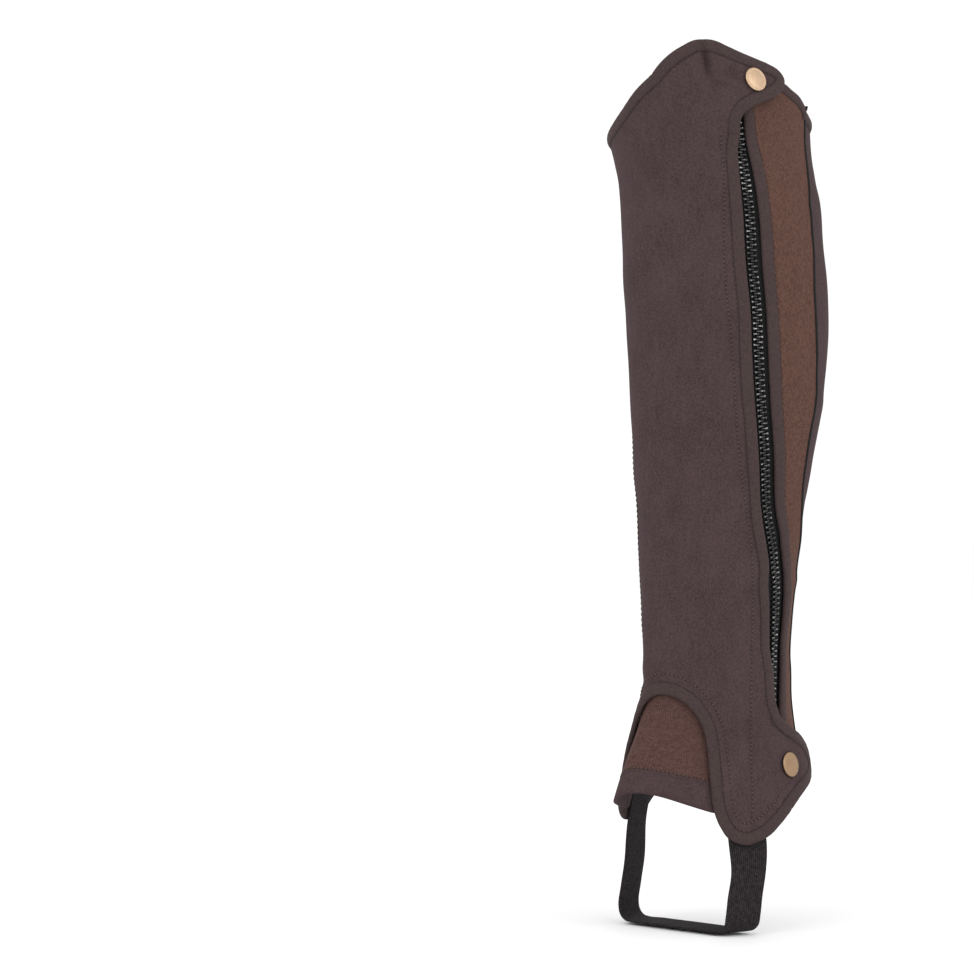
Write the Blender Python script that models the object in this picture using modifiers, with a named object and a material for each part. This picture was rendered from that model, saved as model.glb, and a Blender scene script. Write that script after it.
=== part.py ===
"""Half chap for the left leg: a suede-look gaiter that zips up the outer side of the calf, filled out as worn.

The toe points to -Y, the outer side of the leg is +X and up is +Z. The origin is the middle of the calf at its
widest, where the wearer's leg holds the piece up. A place on the leg is an azimuth in degrees, 0 at the shin,
positive round the outer side and negative round the inner side, and a height in millimetres. Lengths are in
millimetres until a mesh is made, which is in metres.
"""

import bmesh
import bpy
import numpy as np
from mathutils import Vector
from mathutils.geometry import delaunay_2d_cdt

MM = 0.001
SEAM_GAP = 0.3

# Driving sizes of the cloth
SUEDE = 1.8
STRETCH = 1.6
ELASTIC = 1.5
BINDING_WIDTH = 6.3
BINDING_THICKNESS = 3.4
BINDING_OUT = -0.6
TUCK = 7.0
BAND_OUT = -2.6
BAND_THICKNESS = 2.3

# Driving sizes of the zip, the snaps, the strap and the label
TAPE_WIDTH = 14.0
TAPE_THICKNESS = 1.0
TAPE_OUT = -2.6
TAPE_TOP = 117.5
TAPE_BOTTOM = -264.0
TAPE_GAP = 0.3
ZIP_OVERRUN = 12.0
SLIDER_HEIGHT = 115.0
SLIDER_SIZE = (7.4, 10.0)
SLIDER_OUT = (-2.2, 1.6)
PULL_HEIGHT = 120.0
PULL_SIZE = (5.6, 15.0)
PULL_OUT = (1.8, 2.9)
BOX_HEIGHT = -259.5
BOX_SIZE = (6.2, 9.0)
BOX_OUT = (-2.2, 0.8)
SNAP_LIFT = 6.0
STRAP_WIDTH = 24.0
STRAP_THICKNESS = 1.6
STRAP_OUT = -2.6
STRAP_BOTTOM = -373.0
STRAP_CORNER = 9.0
LABEL_THICKNESS = 1.0
SEAM_CORD_RADIUS = 1.1
SEAM_CORD_OUT = -3.4
SEAM_CORD_TIPS = (6.0, 2.5)

# Turned profiles of a snap: radius and distance out from the outer face of the cloth that carries the piece.
SNAP_CAP = ((0.0, 0.3), (6.6, 0.3), (7.4, 0.9), (7.3, 1.5), (6.6, 1.85), (3.4, 2.05), (0.0, 2.1))
SNAP_SOCKET = ((2.5, -4.3), (5.0, -4.3), (5.0, -2.7), (4.5, -2.5), (2.5, -2.5))
SNAP_STUD = ((0.0, 0.3), (3.4, 0.3), (3.4, 1.2), (2.1, 1.3), (2.2, 2.6), (1.8, 3.0), (0.0, 3.0))
SNAP_RING = ((2.6, -3.1), (3.4, -3.5), (4.6, -3.6), (5.5, -3.0), (5.5, -2.6), (2.6, -2.6))

# The leg form: the outer face of the cloth, one row for each level section, an oval with a reach of its own each way.
# Taper draws the section's front and back in towards a rounded point, as over the instep and the heel tendon.
LEG_COLUMNS = ("height", "front", "back", "outer", "inner", "taper")
LEG = (
    (-330.0, 110.0, 60.0, 50.0, 48.0, 0.34),
    (-310.0, 105.0, 58.0, 47.0, 45.0, 0.34),
    (-290.0, 96.0, 55.5, 42.8, 41.0, 0.34),
    (-270.0, 85.0, 53.3, 39.4, 38.0, 0.32),
    (-253.0, 75.5, 51.0, 37.0, 35.0, 0.28),
    (-235.0, 68.5, 47.5, 35.5, 33.5, 0.20),
    (-215.0, 64.5, 45.0, 35.5, 35.0, 0.10),
    (-192.0, 63.0, 43.5, 37.5, 38.0, 0.03),
    (-168.0, 61.0, 43.0, 41.5, 41.5, 0.0),
    (-144.0, 59.0, 43.0, 46.5, 46.0, 0.0),
    (-119.0, 58.8, 45.2, 50.0, 50.0, 0.0),
    (-95.0, 59.8, 49.5, 54.8, 54.0, 0.0),
    (-71.0, 61.0, 54.5, 59.0, 55.0, 0.0),
    (-47.0, 62.0, 58.0, 61.2, 57.0, 0.0),
    (-22.0, 62.5, 61.0, 61.5, 58.5, 0.0),
    (2.0, 62.3, 62.3, 60.1, 60.1, 0.0),
    (26.0, 61.5, 62.0, 58.5, 62.5, 0.0),
    (50.0, 61.3, 60.5, 57.0, 64.5, 0.0),
    (74.0, 62.0, 58.8, 52.0, 68.5, 0.0),
    (94.0, 64.3, 60.0, 45.5, 74.0, 0.0),
    (118.0, 66.0, 62.0, 41.0, 76.5, 0.0),
    (140.0, 67.0, 63.5, 34.0, 77.0, 0.0),
    (165.0, 67.5, 64.5, 26.0, 77.5, 0.0),
)

# The zip: where its middle runs and how wide the two bound edges leave it open.
ZIP_COLUMNS = ("height", "azimuth", "opening")
ZIP = (
    (-290.0, 75.0, 8.0),
    (-275.0, 80.5, 8.0),
    (-260.0, 88.5, 9.0),
    (-245.0, 95.0, 10.5),
    (-230.0, 97.5, 14.0),
    (-215.0, 98.4, 15.3),
    (-200.0, 97.6, 14.4),
    (-175.0, 93.0, 13.3),
    (-155.0, 86.0, 12.7),
    (-130.0, 77.5, 12.1),
    (-105.0, 72.0, 11.3),
    (-90.0, 68.8, 10.9),
    (-72.0, 65.3, 10.5),
    (-56.0, 62.8, 10.5),
    (-35.0, 61.4, 10.5),
    (-5.0, 61.0, 10.5),
    (22.0, 59.4, 10.7),
    (45.0, 58.8, 10.7),
    (62.0, 58.8, 10.1),
    (78.0, 59.6, 8.8),
    (88.0, 61.0, 7.4),
    (98.0, 62.2, 5.4),
    (110.0, 61.0, 8.6),
    (121.0, 58.3, 8.2),
    (135.0, 54.5, 8.2),
)

# The seam down the inner side, where the two suede panels meet, and the seam behind the stretch panel.
SEAM_COLUMNS = ("height", "azimuth")
INNER_SEAM = (
    (-320.0, -63.0),
    (-300.0, -59.5),
    (-275.0, -54.5),
    (-250.0, -49.0),
    (-225.0, -43.5),
    (-196.0, -39.5),
    (-160.0, -37.5),
    (-125.0, -39.5),
    (-100.0, -45.0),
    (-70.0, -54.0),
    (-40.0, -59.0),
    (-13.0, -62.5),
    (21.0, -65.5),
    (61.0, -65.5),
    (110.0, -67.5),
)
BACK_SEAM = (
    (-300.0, 138.0),
    (-230.0, 137.0),
    (-208.0, 135.5),
    (-182.0, 133.0),
    (-155.0, 127.0),
    (-130.0, 116.0),
    (-104.0, 107.0),
    (-80.0, 104.0),
    (-60.0, 105.0),
    (-40.0, 104.0),
    (-20.0, 101.5),
    (0.0, 101.5),
    (25.0, 104.0),
    (45.0, 104.5),
    (66.0, 108.5),
    (95.0, 115.5),
    (108.0, 119.0),
    (130.0, 122.0),
)

# The bound edge of the suede, from past the back seam round the inner side to the shin and the top tab.
TOP_EDGE = (
    (-246.0, 121.0),
    (-240.0, 117.0),
    (-232.0, 113.0),
    (-218.0, 111.5),
    (-200.0, 112.5),
    (-180.0, 114.0),
    (-150.0, 112.5),
    (-120.0, 109.5),
    (-90.0, 106.0),
    (-68.0, 103.5),
    (-50.0, 102.5),
    (-36.0, 106.5),
    (-22.0, 114.0),
    (-8.5, 125.6),
    (4.5, 134.7),
    (19.0, 142.8),
    (32.0, 148.4),
    (42.5, 152.0),
    (50.0, 151.2),
    (58.0, 147.8),
    (67.0, 144.0),
    (77.0, 140.4),
    (85.0, 137.7),
    (91.0, 134.4),
    (93.5, 129.0),
    (91.0, 124.0),
    (84.5, 119.0),
    (76.0, 115.5),
    (68.5, 112.0),
    (63.0, 108.5),
    (60.0, 104.0),
)
# Round the lower flap, from the foot of the zip to the outer tongue.
FLAP_EDGE = (
    (89.2, -222.0),
    (88.0, -235.0),
    (89.2, -243.5),
    (93.0, -250.5),
    (102.0, -256.0),
    (113.0, -261.0),
    (123.0, -267.3),
    (130.5, -274.0),
    (133.5, -280.0),
    (128.0, -286.0),
    (118.0, -290.0),
    (107.5, -293.5),
    (97.0, -299.0),
    (90.5, -304.0),
    (84.5, -311.5),
    (78.0, -319.0),
    (72.0, -322.0),
    (67.0, -318.5),
    (63.3, -311.0),
    (60.6, -301.0),
)
# Over the instep, from the outer tongue to the inner tongue.
ARCH_EDGE = (
    (58.8, -288.0),
    (57.0, -276.0),
    (54.7, -265.0),
    (50.2, -252.5),
    (41.0, -241.5),
    (28.0, -235.0),
    (15.0, -233.5),
    (4.0, -235.5),
    (-6.0, -240.0),
    (-16.0, -246.0),
    (-28.0, -255.0),
    (-37.0, -268.0),
    (-43.0, -282.0),
    (-48.0, -295.0),
)
# Round the inner tongue and the heel to past the back seam.
HEM_EDGE = (
    (-53.5, -305.5),
    (-60.0, -311.0),
    (-66.5, -311.3),
    (-73.0, -307.0),
    (-78.0, -299.0),
    (-82.0, -290.0),
    (-88.0, -281.5),
    (-98.0, -276.0),
    (-112.0, -273.3),
    (-145.0, -273.0),
    (-180.0, -272.5),
    (-205.0, -274.0),
    (-230.0, -277.5),
)
# The bound edge of the stretch panel: its hem, under the flap, and its top, under the tab.
STRETCH_HEM_EDGE = (
    (144.0, -275.5),
    (127.0, -281.0),
    (115.0, -286.5),
    (104.0, -291.0),
    (95.0, -293.5),
    (88.0, -292.3),
    (84.5, -286.5),
)
STRETCH_TOP_EDGE = (
    (61.8, 129.5),
    (64.5, 134.8),
    (69.5, 137.2),
    (76.0, 137.0),
    (84.0, 135.3),
    (93.0, 133.0),
    (101.0, 129.8),
    (107.0, 126.5),
    (112.5, 124.2),
    (117.0, 121.0),
    (121.0, 117.2),
    (125.0, 113.8),
)

# The hem band of the instep gusset.
BAND_COLUMNS = ("azimuth", "top", "bottom")
BAND = (
    (-62.0, -288.0, -304.0),
    (-44.0, -286.0, -300.5),
    (-25.0, -282.0, -296.0),
    (0.0, -276.5, -290.0),
    (20.0, -276.5, -289.0),
    (38.0, -279.5, -292.0),
    (50.0, -282.5, -297.0),
    (63.0, -286.5, -303.0),
)
BAND_ENDS = (-54.5, 62.3)

# The edge of the oval grip patch on the inner side, once round.
PATCH_EDGE = (
    (-125.5, 66.0),
    (-112.0, 62.0),
    (-102.5, 54.0),
    (-95.5, 42.0),
    (-91.0, 27.0),
    (-88.0, 9.0),
    (-85.5, -10.0),
    (-83.0, -35.0),
    (-80.5, -62.0),
    (-76.5, -90.0),
    (-74.0, -118.0),
    (-73.5, -145.0),
    (-76.0, -172.0),
    (-83.0, -190.0),
    (-96.0, -197.5),
    (-110.0, -196.5),
    (-124.0, -188.0),
    (-138.0, -172.0),
    (-149.0, -150.0),
    (-155.0, -122.0),
    (-155.5, -95.0),
    (-151.0, -68.0),
    (-147.0, -40.0),
    (-146.0, -20.0),
    (-147.5, 0.0),
    (-151.0, 20.0),
    (-153.5, 38.0),
    (-152.5, 52.0),
    (-143.0, 61.5),
)
PATCH_THICKNESS = 1.1

# Soft creases in the cloth: middle, reach each way and depth, sunk where the depth is negative.
CREASE_COLUMNS = ("azimuth", "height", "reach_azimuth", "reach_height", "depth")
CREASES = (
    (47.0, 127.0, 3.5, 10.0, -1.3),
    (53.0, 118.0, 5.0, 9.0, 0.7),
    (-22.0, 62.0, 12.0, 26.0, -1.4),
    (2.0, -200.0, 17.0, 9.0, 0.9),
    (-6.0, -217.0, 20.0, 7.0, -0.8),
    (168.0, -150.0, 26.0, 12.0, -1.2),
    (-150.0, -212.0, 24.0, 9.0, 0.9),
    (-175.0, -232.0, 24.0, 8.0, -0.9),
)

# The two lifted corners of the outer panel, which lie over the zip and the stretch panel.
TAB_RISE_AZIMUTH = (38.0, 56.0)
TAB_RISE_HEIGHT = (84.0, 107.0)
FLAP_RISE_AZIMUTH = (66.0, 82.0)
FLAP_RISE_HEIGHT = (-204.0, -236.0)

TOP_SNAP = (72.3, 127.3)
LOWER_SNAP = (94.5, -277.8)
LABEL_LOW = (13.0, 100.0)
LABEL_HIGH = (51.5, 130.5)

# The strap's middle line, from under the outer tongue down, below the foot and up under the inner tongue.
STRAP_COLUMNS = ("height", "forward")
STRAP_OUTER = ((-304.5, 31.5), (-313.0, 31.0), (-321.0, 31.0))
STRAP_INNER = ((-292.0, 42.0), (-300.0, 42.0), (-309.0, 42.0))
STRAP_SPAN_OUTER = 50.0
STRAP_SPAN_INNER = 44.0
STRAP_TOE_IN = 0.26
STRAP_LOW = ((-338.0, 35.0), (-352.0, 38.0), (-364.0, 40.0))

PANEL_SPACING = 10.8
EDGE_SPACING = 10.0
EDGE_TURN = 22.0
BINDING_SIDES = 8
TURNED_SIDES = 24

# Colours as Blender's linear values, then roughness and metallic
FINISHES = {
    "suede": ((0.085, 0.054, 0.052), 0.95, 0.0),
    "stretch": ((0.122, 0.066, 0.048), 0.9, 0.0),
    "elastic": ((0.110, 0.056, 0.042), 0.9, 0.0),
    "binding": ((0.102, 0.070, 0.064), 0.88, 0.0),
    "zip_black": ((0.012, 0.012, 0.013), 0.45, 0.0),
    "webbing": ((0.022, 0.019, 0.021), 0.85, 0.0),
    "brass": ((0.62, 0.42, 0.22), 0.28, 1.0),
    "label": ((0.018, 0.018, 0.020), 0.4, 0.0),
}


def clear_scene():
    for thing in list(bpy.data.objects):
        bpy.data.objects.remove(thing)


def new_collection():
    collection = bpy.data.collections.new("half_chap")
    bpy.context.scene.collection.children.link(collection)
    return collection


def make_materials():
    materials = {}
    for name, (colour, roughness, metallic) in FINISHES.items():
        material = bpy.data.materials.new(name)
        material.use_nodes = True
        shader = material.node_tree.nodes["Principled BSDF"]
        shader.inputs["Base Color"].default_value = (*colour, 1.0)
        shader.inputs["Roughness"].default_value = roughness
        shader.inputs["Metallic"].default_value = metallic
        materials[name] = material
    return materials


def columns(names, rows):
    """The table as one array for each named column."""
    return dict(zip(names, np.array(rows, float).T))


def smooth_at(where, knots, values):
    """Values between the knots: cubics whose slope at each knot is the mean slope beside it."""
    slopes = np.gradient(values, knots, axis=0)
    span = np.clip(np.searchsorted(knots, where, "right") - 1, 0, len(knots) - 2)
    width = knots[span + 1] - knots[span]
    t = (where - knots[span]) / width
    if values.ndim == 2:
        t, width = t[..., None], width[..., None]
    start = (1 + 2 * t) * (1 - t) ** 2 * values[span] + t * (1 - t) ** 2 * width * slopes[span]
    return start + t * t * (3 - 2 * t) * values[span + 1] + t * t * (t - 1) * width * slopes[span + 1]


def column_at(table, name, where):
    """A column of a table at given values of its first column."""
    knots = next(iter(table.values()))
    return smooth_at(np.asarray(where, float), knots, table[name])


def ramp(start, end, value):
    """0 before start and 1 after end, with no corner at either."""
    t = np.clip((value - start) / (end - start), 0.0, 1.0)
    return t * t * (3 - 2 * t)


LEG_TABLE = columns(LEG_COLUMNS, LEG)
ZIP_TABLE = columns(ZIP_COLUMNS, ZIP)
BAND_TABLE = columns(BAND_COLUMNS, BAND)
CREASE_TABLE = columns(CREASE_COLUMNS, CREASES)
INNER_SEAM_TABLE = columns(SEAM_COLUMNS, INNER_SEAM)
BACK_SEAM_TABLE = columns(SEAM_COLUMNS, BACK_SEAM)


def leg_oval(places):
    """Points on the leg form: x is a side's reach * sin * (1 - taper * cos squared), y is minus an end's reach * cos."""
    angle = np.radians(places[..., 0])
    row = {name: column_at(LEG_TABLE, name, places[..., 1]) for name in LEG_COLUMNS[1:]}
    sideways = np.where(np.sin(angle) > 0, row["outer"], row["inner"]) * (1 - row["taper"] * np.cos(angle) ** 2)
    lengthways = np.where(np.cos(angle) > 0, row["front"], row["back"])
    return np.stack([sideways * np.sin(angle), -lengthways * np.cos(angle), places[..., 1]], axis=-1)


def crease_depth(places):
    """The sum of the creases, each a soft hump whose height falls off as a bell curve each way."""
    depth = np.zeros(places.shape[:-1])
    for azimuth, height, reach_azimuth, reach_height, deep in zip(*CREASE_TABLE.values()):
        away = (places[..., 0] - azimuth + 180.0) % 360.0 - 180.0
        depth += deep * np.exp(-((away / reach_azimuth) ** 2) - ((places[..., 1] - height) / reach_height) ** 2)
    return depth


def outward(surface, places):
    """Unit normals of a surface, pointing away from the leg."""
    turn = surface(places + (0.5, 0.0)) - surface(places - (0.5, 0.0))
    rise = surface(places + (0.0, 0.5)) - surface(places - (0.0, 0.5))
    normal = np.cross(turn, rise)
    return normal / np.linalg.norm(normal, axis=-1, keepdims=True)


def close_cloth(places):
    """The outer face of the cloth that lies on the leg."""
    return leg_oval(places) + outward(leg_oval, places) * crease_depth(places)[..., None]


def lifted_cloth(places):
    """The outer face of the outer panel, whose tab and flap rise over what they fasten to."""
    azimuth, height = places[..., 0], places[..., 1]
    tab = ramp(*TAB_RISE_AZIMUTH, azimuth) * ramp(*TAB_RISE_HEIGHT, height)
    flap = ramp(*FLAP_RISE_AZIMUTH, azimuth) * ramp(*FLAP_RISE_HEIGHT, height)
    rise = crease_depth(places) + SNAP_LIFT * np.maximum(tab, flap)
    return leg_oval(places) + outward(leg_oval, places) * rise[..., None]


def directions(path, surface):
    """Unit tangent, sideways and outward directions along a path; sideways is to the left, seen from outside."""
    points = surface(path)
    tangent = np.gradient(points, axis=0)
    normal = outward(surface, path)
    tangent -= normal * (tangent * normal).sum(-1, keepdims=True)
    tangent /= np.linalg.norm(tangent, axis=-1, keepdims=True)
    return tangent, np.cross(normal, tangent), normal


def beside(path, surface, distance):
    """The path moved sideways along the cloth, to the left of its direction as seen from outside."""
    turn = surface(path + (0.5, 0.0)) - surface(path - (0.5, 0.0))
    rise = surface(path + (0.0, 0.5)) - surface(path - (0.0, 0.5))
    wanted = directions(path, surface)[1] * distance
    tt, tr, rr = (turn * turn).sum(-1), (turn * rise).sum(-1), (rise * rise).sum(-1)
    wt, wr = (wanted * turn).sum(-1), (wanted * rise).sum(-1)
    spread = tt * rr - tr * tr
    return path + np.stack([(wt * rr - wr * tr) / spread, (wr * tt - wt * tr) / spread], axis=-1)


def smooth_path(rows, first=0, last=None):
    """A smooth path through rows of azimuth and height, from one row to another, with points half a unit apart."""
    rows = np.array(rows, float)
    along = np.concatenate([[0.0], np.cumsum(np.linalg.norm(np.diff(rows, axis=0), axis=1))])
    start, end = along[first], along[-1 if last is None else last]
    return smooth_at(np.linspace(start, end, int((end - start) * 2) + 2), along, rows)


def thinned(path, surface, spacing=EDGE_SPACING, turn=EDGE_TURN):
    """The path with fewer points: one for each step of length, and more of them where it bends."""
    points = surface(path)
    tangent = directions(path, surface)[0]
    bend = np.degrees(np.arccos(np.clip((tangent[1:] * tangent[:-1]).sum(-1), -1.0, 1.0)))
    cost = np.linalg.norm(np.diff(points, axis=0), axis=1) / spacing + bend / turn
    along = np.concatenate([[0.0], np.cumsum(cost)])
    wanted = np.linspace(0.0, along[-1], max(2, int(round(along[-1])) + 1))
    return np.stack([np.interp(wanted, along, path[:, k]) for k in (0, 1)], axis=-1)


def new_object(name, collection, materials, finish, vertices, faces, smooth=True):
    """A mesh object from points in millimetres."""
    mesh = bpy.data.meshes.new(name)
    mesh.from_pydata((np.asarray(vertices) * MM).tolist(), [], faces)
    mesh.materials.append(materials[finish])
    if smooth:
        mesh.shade_smooth()
    thing = bpy.data.objects.new(name, mesh)
    collection.objects.link(thing)
    return thing


def recalculate(thing):
    """Turns the faces of a closed mesh outwards."""
    shape = bmesh.new()
    shape.from_mesh(thing.data)
    bmesh.ops.recalc_face_normals(shape, faces=shape.faces)
    shape.to_mesh(thing.data)
    shape.free()


def walled(outer, inner, faces):
    """Points and faces of a closed wall between two open surfaces whose points match, with a rim at each free edge."""
    count = len(outer)
    free = set()
    for face in faces:
        for start, end in zip(face, (*face[1:], face[0])):
            if (end, start) in free:
                free.remove((end, start))
            else:
                free.add((start, end))
    back = [tuple(count + k for k in reversed(face)) for face in faces]
    rim = [(end, start, count + start, count + end) for start, end in sorted(free)]
    return np.vstack([outer, inner]), [tuple(face) for face in faces] + back + rim


def inside_outline(points, outline):
    """Which points lie inside a closed outline: those with an odd number of its edges to their right."""
    start, end = outline, np.roll(outline, -1, axis=0)
    x, y = points[:, :1], points[:, 1:]
    crosses = (start[:, 1] > y) != (end[:, 1] > y)
    rise = np.where(start[:, 1] == end[:, 1], 1.0, end[:, 1] - start[:, 1])
    at = start[:, 0] + (y - start[:, 1]) / rise * (end[:, 0] - start[:, 0])
    return (crosses & (x < at)).sum(axis=1) % 2 == 1


def distance_to(points, outline, closed=True):
    """The distance from each point to the nearest edge of an outline."""
    start, end = (outline, np.roll(outline, -1, axis=0)) if closed else (outline[:-1], outline[1:])
    edge = end - start
    along = ((points[:, None] - start) * edge).sum(-1) / (edge * edge).sum(-1)
    nearest = start + np.clip(along, 0.0, 1.0)[..., None] * edge
    return np.linalg.norm(points[:, None] - nearest, axis=-1).min(axis=1)


def triangulated(outline, inlays, spacing):
    """Even triangles inside a closed outline of azimuth and height, whose edges follow the outline and the inlays."""
    low, high = outline.min(axis=0), outline.max(axis=0)
    grid = []
    for k, height in enumerate(np.arange(low[1] + spacing / 2, high[1], spacing * 0.87)):
        for azimuth in np.arange(low[0] + spacing * (k % 2) / 2, high[0], spacing):
            grid.append((azimuth, height))
    grid = np.array(grid)
    grid = grid[inside_outline(grid, outline)]
    for loop in (outline, *inlays):
        grid = grid[distance_to(grid, loop) > spacing * 0.55]
    points, edges = [], []
    for loop in (outline, *inlays):
        first = len(points)
        points.extend(loop)
        edges.extend((first + k, first + (k + 1) % len(loop)) for k in range(len(loop)))
    points.extend(grid)
    vertices, _, faces, *_ = delaunay_2d_cdt([Vector(point) for point in points], edges, [], 1, 1e-5)
    return np.array([tuple(vertex) for vertex in vertices]), [tuple(face) for face in faces]


def cloth_piece(name, collection, materials, finish, surface, places, faces, out, thickness):
    """A wall of cloth from a flat triangulation: its outer face is the surface moved out, and the wall grows inwards."""
    points, normal = surface(places), outward(surface, places)
    points, faces = walled(points + normal * out, points + normal * (out - thickness), faces)
    thing = new_object(name, collection, materials, finish, points, faces)
    recalculate(thing)
    thing.data.set_sharp_from_angle(angle=np.radians(50))
    return thing


def inset_edge(paths, surface, distance, turn, side):
    """The joined paths moved sideways into the cloth and ended at the back seam, with no crowded point in a tight bend."""
    whole = joined(*paths.values())
    moved = beside(whole, surface, -distance)
    moved = moved[distance_to(surface(moved), surface(whole), closed=False) > distance - 0.35]
    return cut_at_seam(moved, BACK_SEAM_TABLE, turn, side, False)


def faces_within(places, faces, loop):
    """The faces whose middles lie inside a closed outline, with the points that they use."""
    middles = np.array([places[list(face)].mean(axis=0) for face in faces])
    kept = [face for face, within in zip(faces, inside_outline(middles, loop)) if within]
    used = sorted({k for face in kept for k in face})
    number = {k: n for n, k in enumerate(used)}
    return places[used], [tuple(number[k] for k in face) for face in kept]


def zip_side(side):
    """The bound edge beside the zip, from top to bottom: side is -1 in front of it and 1 behind it."""
    heights = np.arange(TAPE_TOP + ZIP_OVERRUN, ZIP[0][0], -1.0)
    middle = np.stack([column_at(ZIP_TABLE, "azimuth", heights), heights], axis=-1)
    half = column_at(ZIP_TABLE, "opening", heights) / 2
    return beside(middle, close_cloth, (side * half)[:, None])


def between(path, top, bottom):
    return path[(path[:, 1] <= top) & (path[:, 1] >= bottom)]


def seam_path(table, top, bottom):
    """A seam from top to bottom."""
    heights = np.linspace(top, bottom, int(abs(top - bottom)) + 2)
    return np.stack([column_at(table, "azimuth", heights), heights], axis=-1)


def cut_at_seam(path, table, turn, side, keep_end):
    """The part of a path on one side of a seam, 1 for greater azimuths, with the crossing as its end if wanted."""
    past = (path[:, 0] - turn - column_at(table, "azimuth", path[:, 1])) * side
    kept = past > (0.0 if keep_end else 0.4)
    k = np.flatnonzero(kept)
    if not keep_end:
        return path[kept]
    near, off = (k[0], k[0] - 1) if k[0] > 0 else (k[-1], k[-1] + 1)
    share = past[near] / (past[near] - past[off])
    crossing = path[near] + share * (path[off] - path[near])
    return np.vstack([crossing, path[kept]] if k[0] > 0 else [path[kept], crossing])


def bound_edges():
    """The bound edges of the suede, one path for each stretch of binding, from the back seam's top to its foot."""
    front_edge = between(zip_side(-1), 96.0, -206.0)[::12]
    rows = np.vstack([TOP_EDGE, front_edge, FLAP_EDGE, ARCH_EDGE, HEM_EDGE])
    lengths = (len(TOP_EDGE), len(front_edge), len(FLAP_EDGE), len(ARCH_EDGE), len(HEM_EDGE) - 1)
    ends = np.concatenate([[0], np.cumsum(lengths)])
    names = ("top_binding", "zip_front_binding", "flap_binding", "arch_binding", "hem_binding")
    paths = {name: smooth_path(rows, first, last) for name, first, last in zip(names, ends, ends[1:])}
    for name in ("top_binding", "hem_binding"):
        paths[name] = cut_at_seam(paths[name], BACK_SEAM_TABLE, -360.0, 1, True)
    return {name: thinned(path, lifted_cloth) for name, path in paths.items()}


def stretch_edges():
    """The bound edges of the stretch panel, from the back seam's foot to its top."""
    back_edge = between(zip_side(1), 122.0, -276.0)[::12]
    rows = np.vstack([STRETCH_HEM_EDGE, back_edge[::-1], STRETCH_TOP_EDGE])
    ends = np.cumsum([0, len(STRETCH_HEM_EDGE), len(back_edge), len(STRETCH_TOP_EDGE) - 1])
    names = ("stretch_hem_binding", "zip_back_binding", "stretch_top_binding")
    paths = {name: smooth_path(rows, first, last) for name, first, last in zip(names, ends, ends[1:])}
    for name in ("stretch_top_binding", "stretch_hem_binding"):
        paths[name] = cut_at_seam(paths[name], BACK_SEAM_TABLE, 0.0, -1, True)
    return {name: thinned(path, close_cloth) for name, path in paths.items()}


def joined(*paths):
    """Paths end to end, with no point twice."""
    whole = np.vstack(paths)
    apart = np.linalg.norm(np.diff(whole, axis=0), axis=1) > 0.4
    return whole[np.concatenate([[True], apart])]


def swept(rings):
    """Points and faces of a tube through rings of points, with flat ends."""
    count, sides = rings.shape[:2]
    start = np.arange(count - 1)[:, None] * sides
    k = np.arange(sides)
    following = (k + 1) % sides
    walls = np.stack([start + k, start + following, start + sides + following, start + sides + k], axis=-1)
    caps = [tuple(range(sides)), tuple(range(count * sides - 1, (count - 1) * sides - 1, -1))]
    return rings.reshape(-1, 3), [tuple(face) for face in walls.reshape(-1, 4).tolist()] + caps


def seam_plane(point):
    """The point of the back seam at the height of another, and the direction across the seam there."""
    heights = point[2] + np.array([-1.0, 0.0, 1.0])
    path = np.stack([column_at(BACK_SEAM_TABLE, "azimuth", heights), heights], axis=-1)
    return close_cloth(path)[1], directions(path, close_cloth)[1][1]


def binding_rings(path, surface):
    """Oval rings of a folded strip carried along an edge of the cloth, whose two ends are mitred to the back seam."""
    inner = beside(path, surface, -BINDING_WIDTH / 2)
    tangent, side, normal = directions(inner, surface)
    centre = surface(inner) + normal * BINDING_OUT
    angle = np.linspace(0.0, 2 * np.pi, BINDING_SIDES, endpoint=False) + np.pi / BINDING_SIDES
    round_off = np.cos(np.pi / BINDING_SIDES) ** 0.8
    wide = np.sign(np.cos(angle)) * np.abs(np.cos(angle)) ** 0.8 * BINDING_WIDTH / 2 / round_off
    thick = np.sign(np.sin(angle)) * np.abs(np.sin(angle)) ** 0.8 * BINDING_THICKNESS / 2 / round_off
    rings = centre[:, None] + side[:, None] * wide[:, None] + normal[:, None] * thick[:, None]
    for k, inwards in ((0, 1), (-1, -2)):
        point, across = seam_plane(centre[k])
        across = across * np.sign(((centre[inwards] - point) * across).sum())
        away = SEAM_GAP / 2 - ((rings[k] - point) * across).sum(-1)
        rings[k] += tangent[k] * (away / (tangent[k] * across).sum())[:, None]
    return rings, tangent


def strip(name, collection, materials, finish, outer, inner):
    """A flat strip of cloth between two grids of points, one row of points across the strip for each step along it."""
    rows, across = outer.shape[:2]
    start = np.arange(rows - 1)[:, None, None] * across + np.arange(across - 1)[:, None]
    faces = (start + np.array([0, across, across + 1, 1])).reshape(-1, 4)
    points, faces = walled(outer.reshape(-1, 3), inner.reshape(-1, 3), [tuple(face) for face in faces.tolist()])
    thing = new_object(name, collection, materials, finish, points, faces)
    recalculate(thing)
    thing.data.set_sharp_from_angle(angle=np.radians(50))
    return thing


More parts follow.
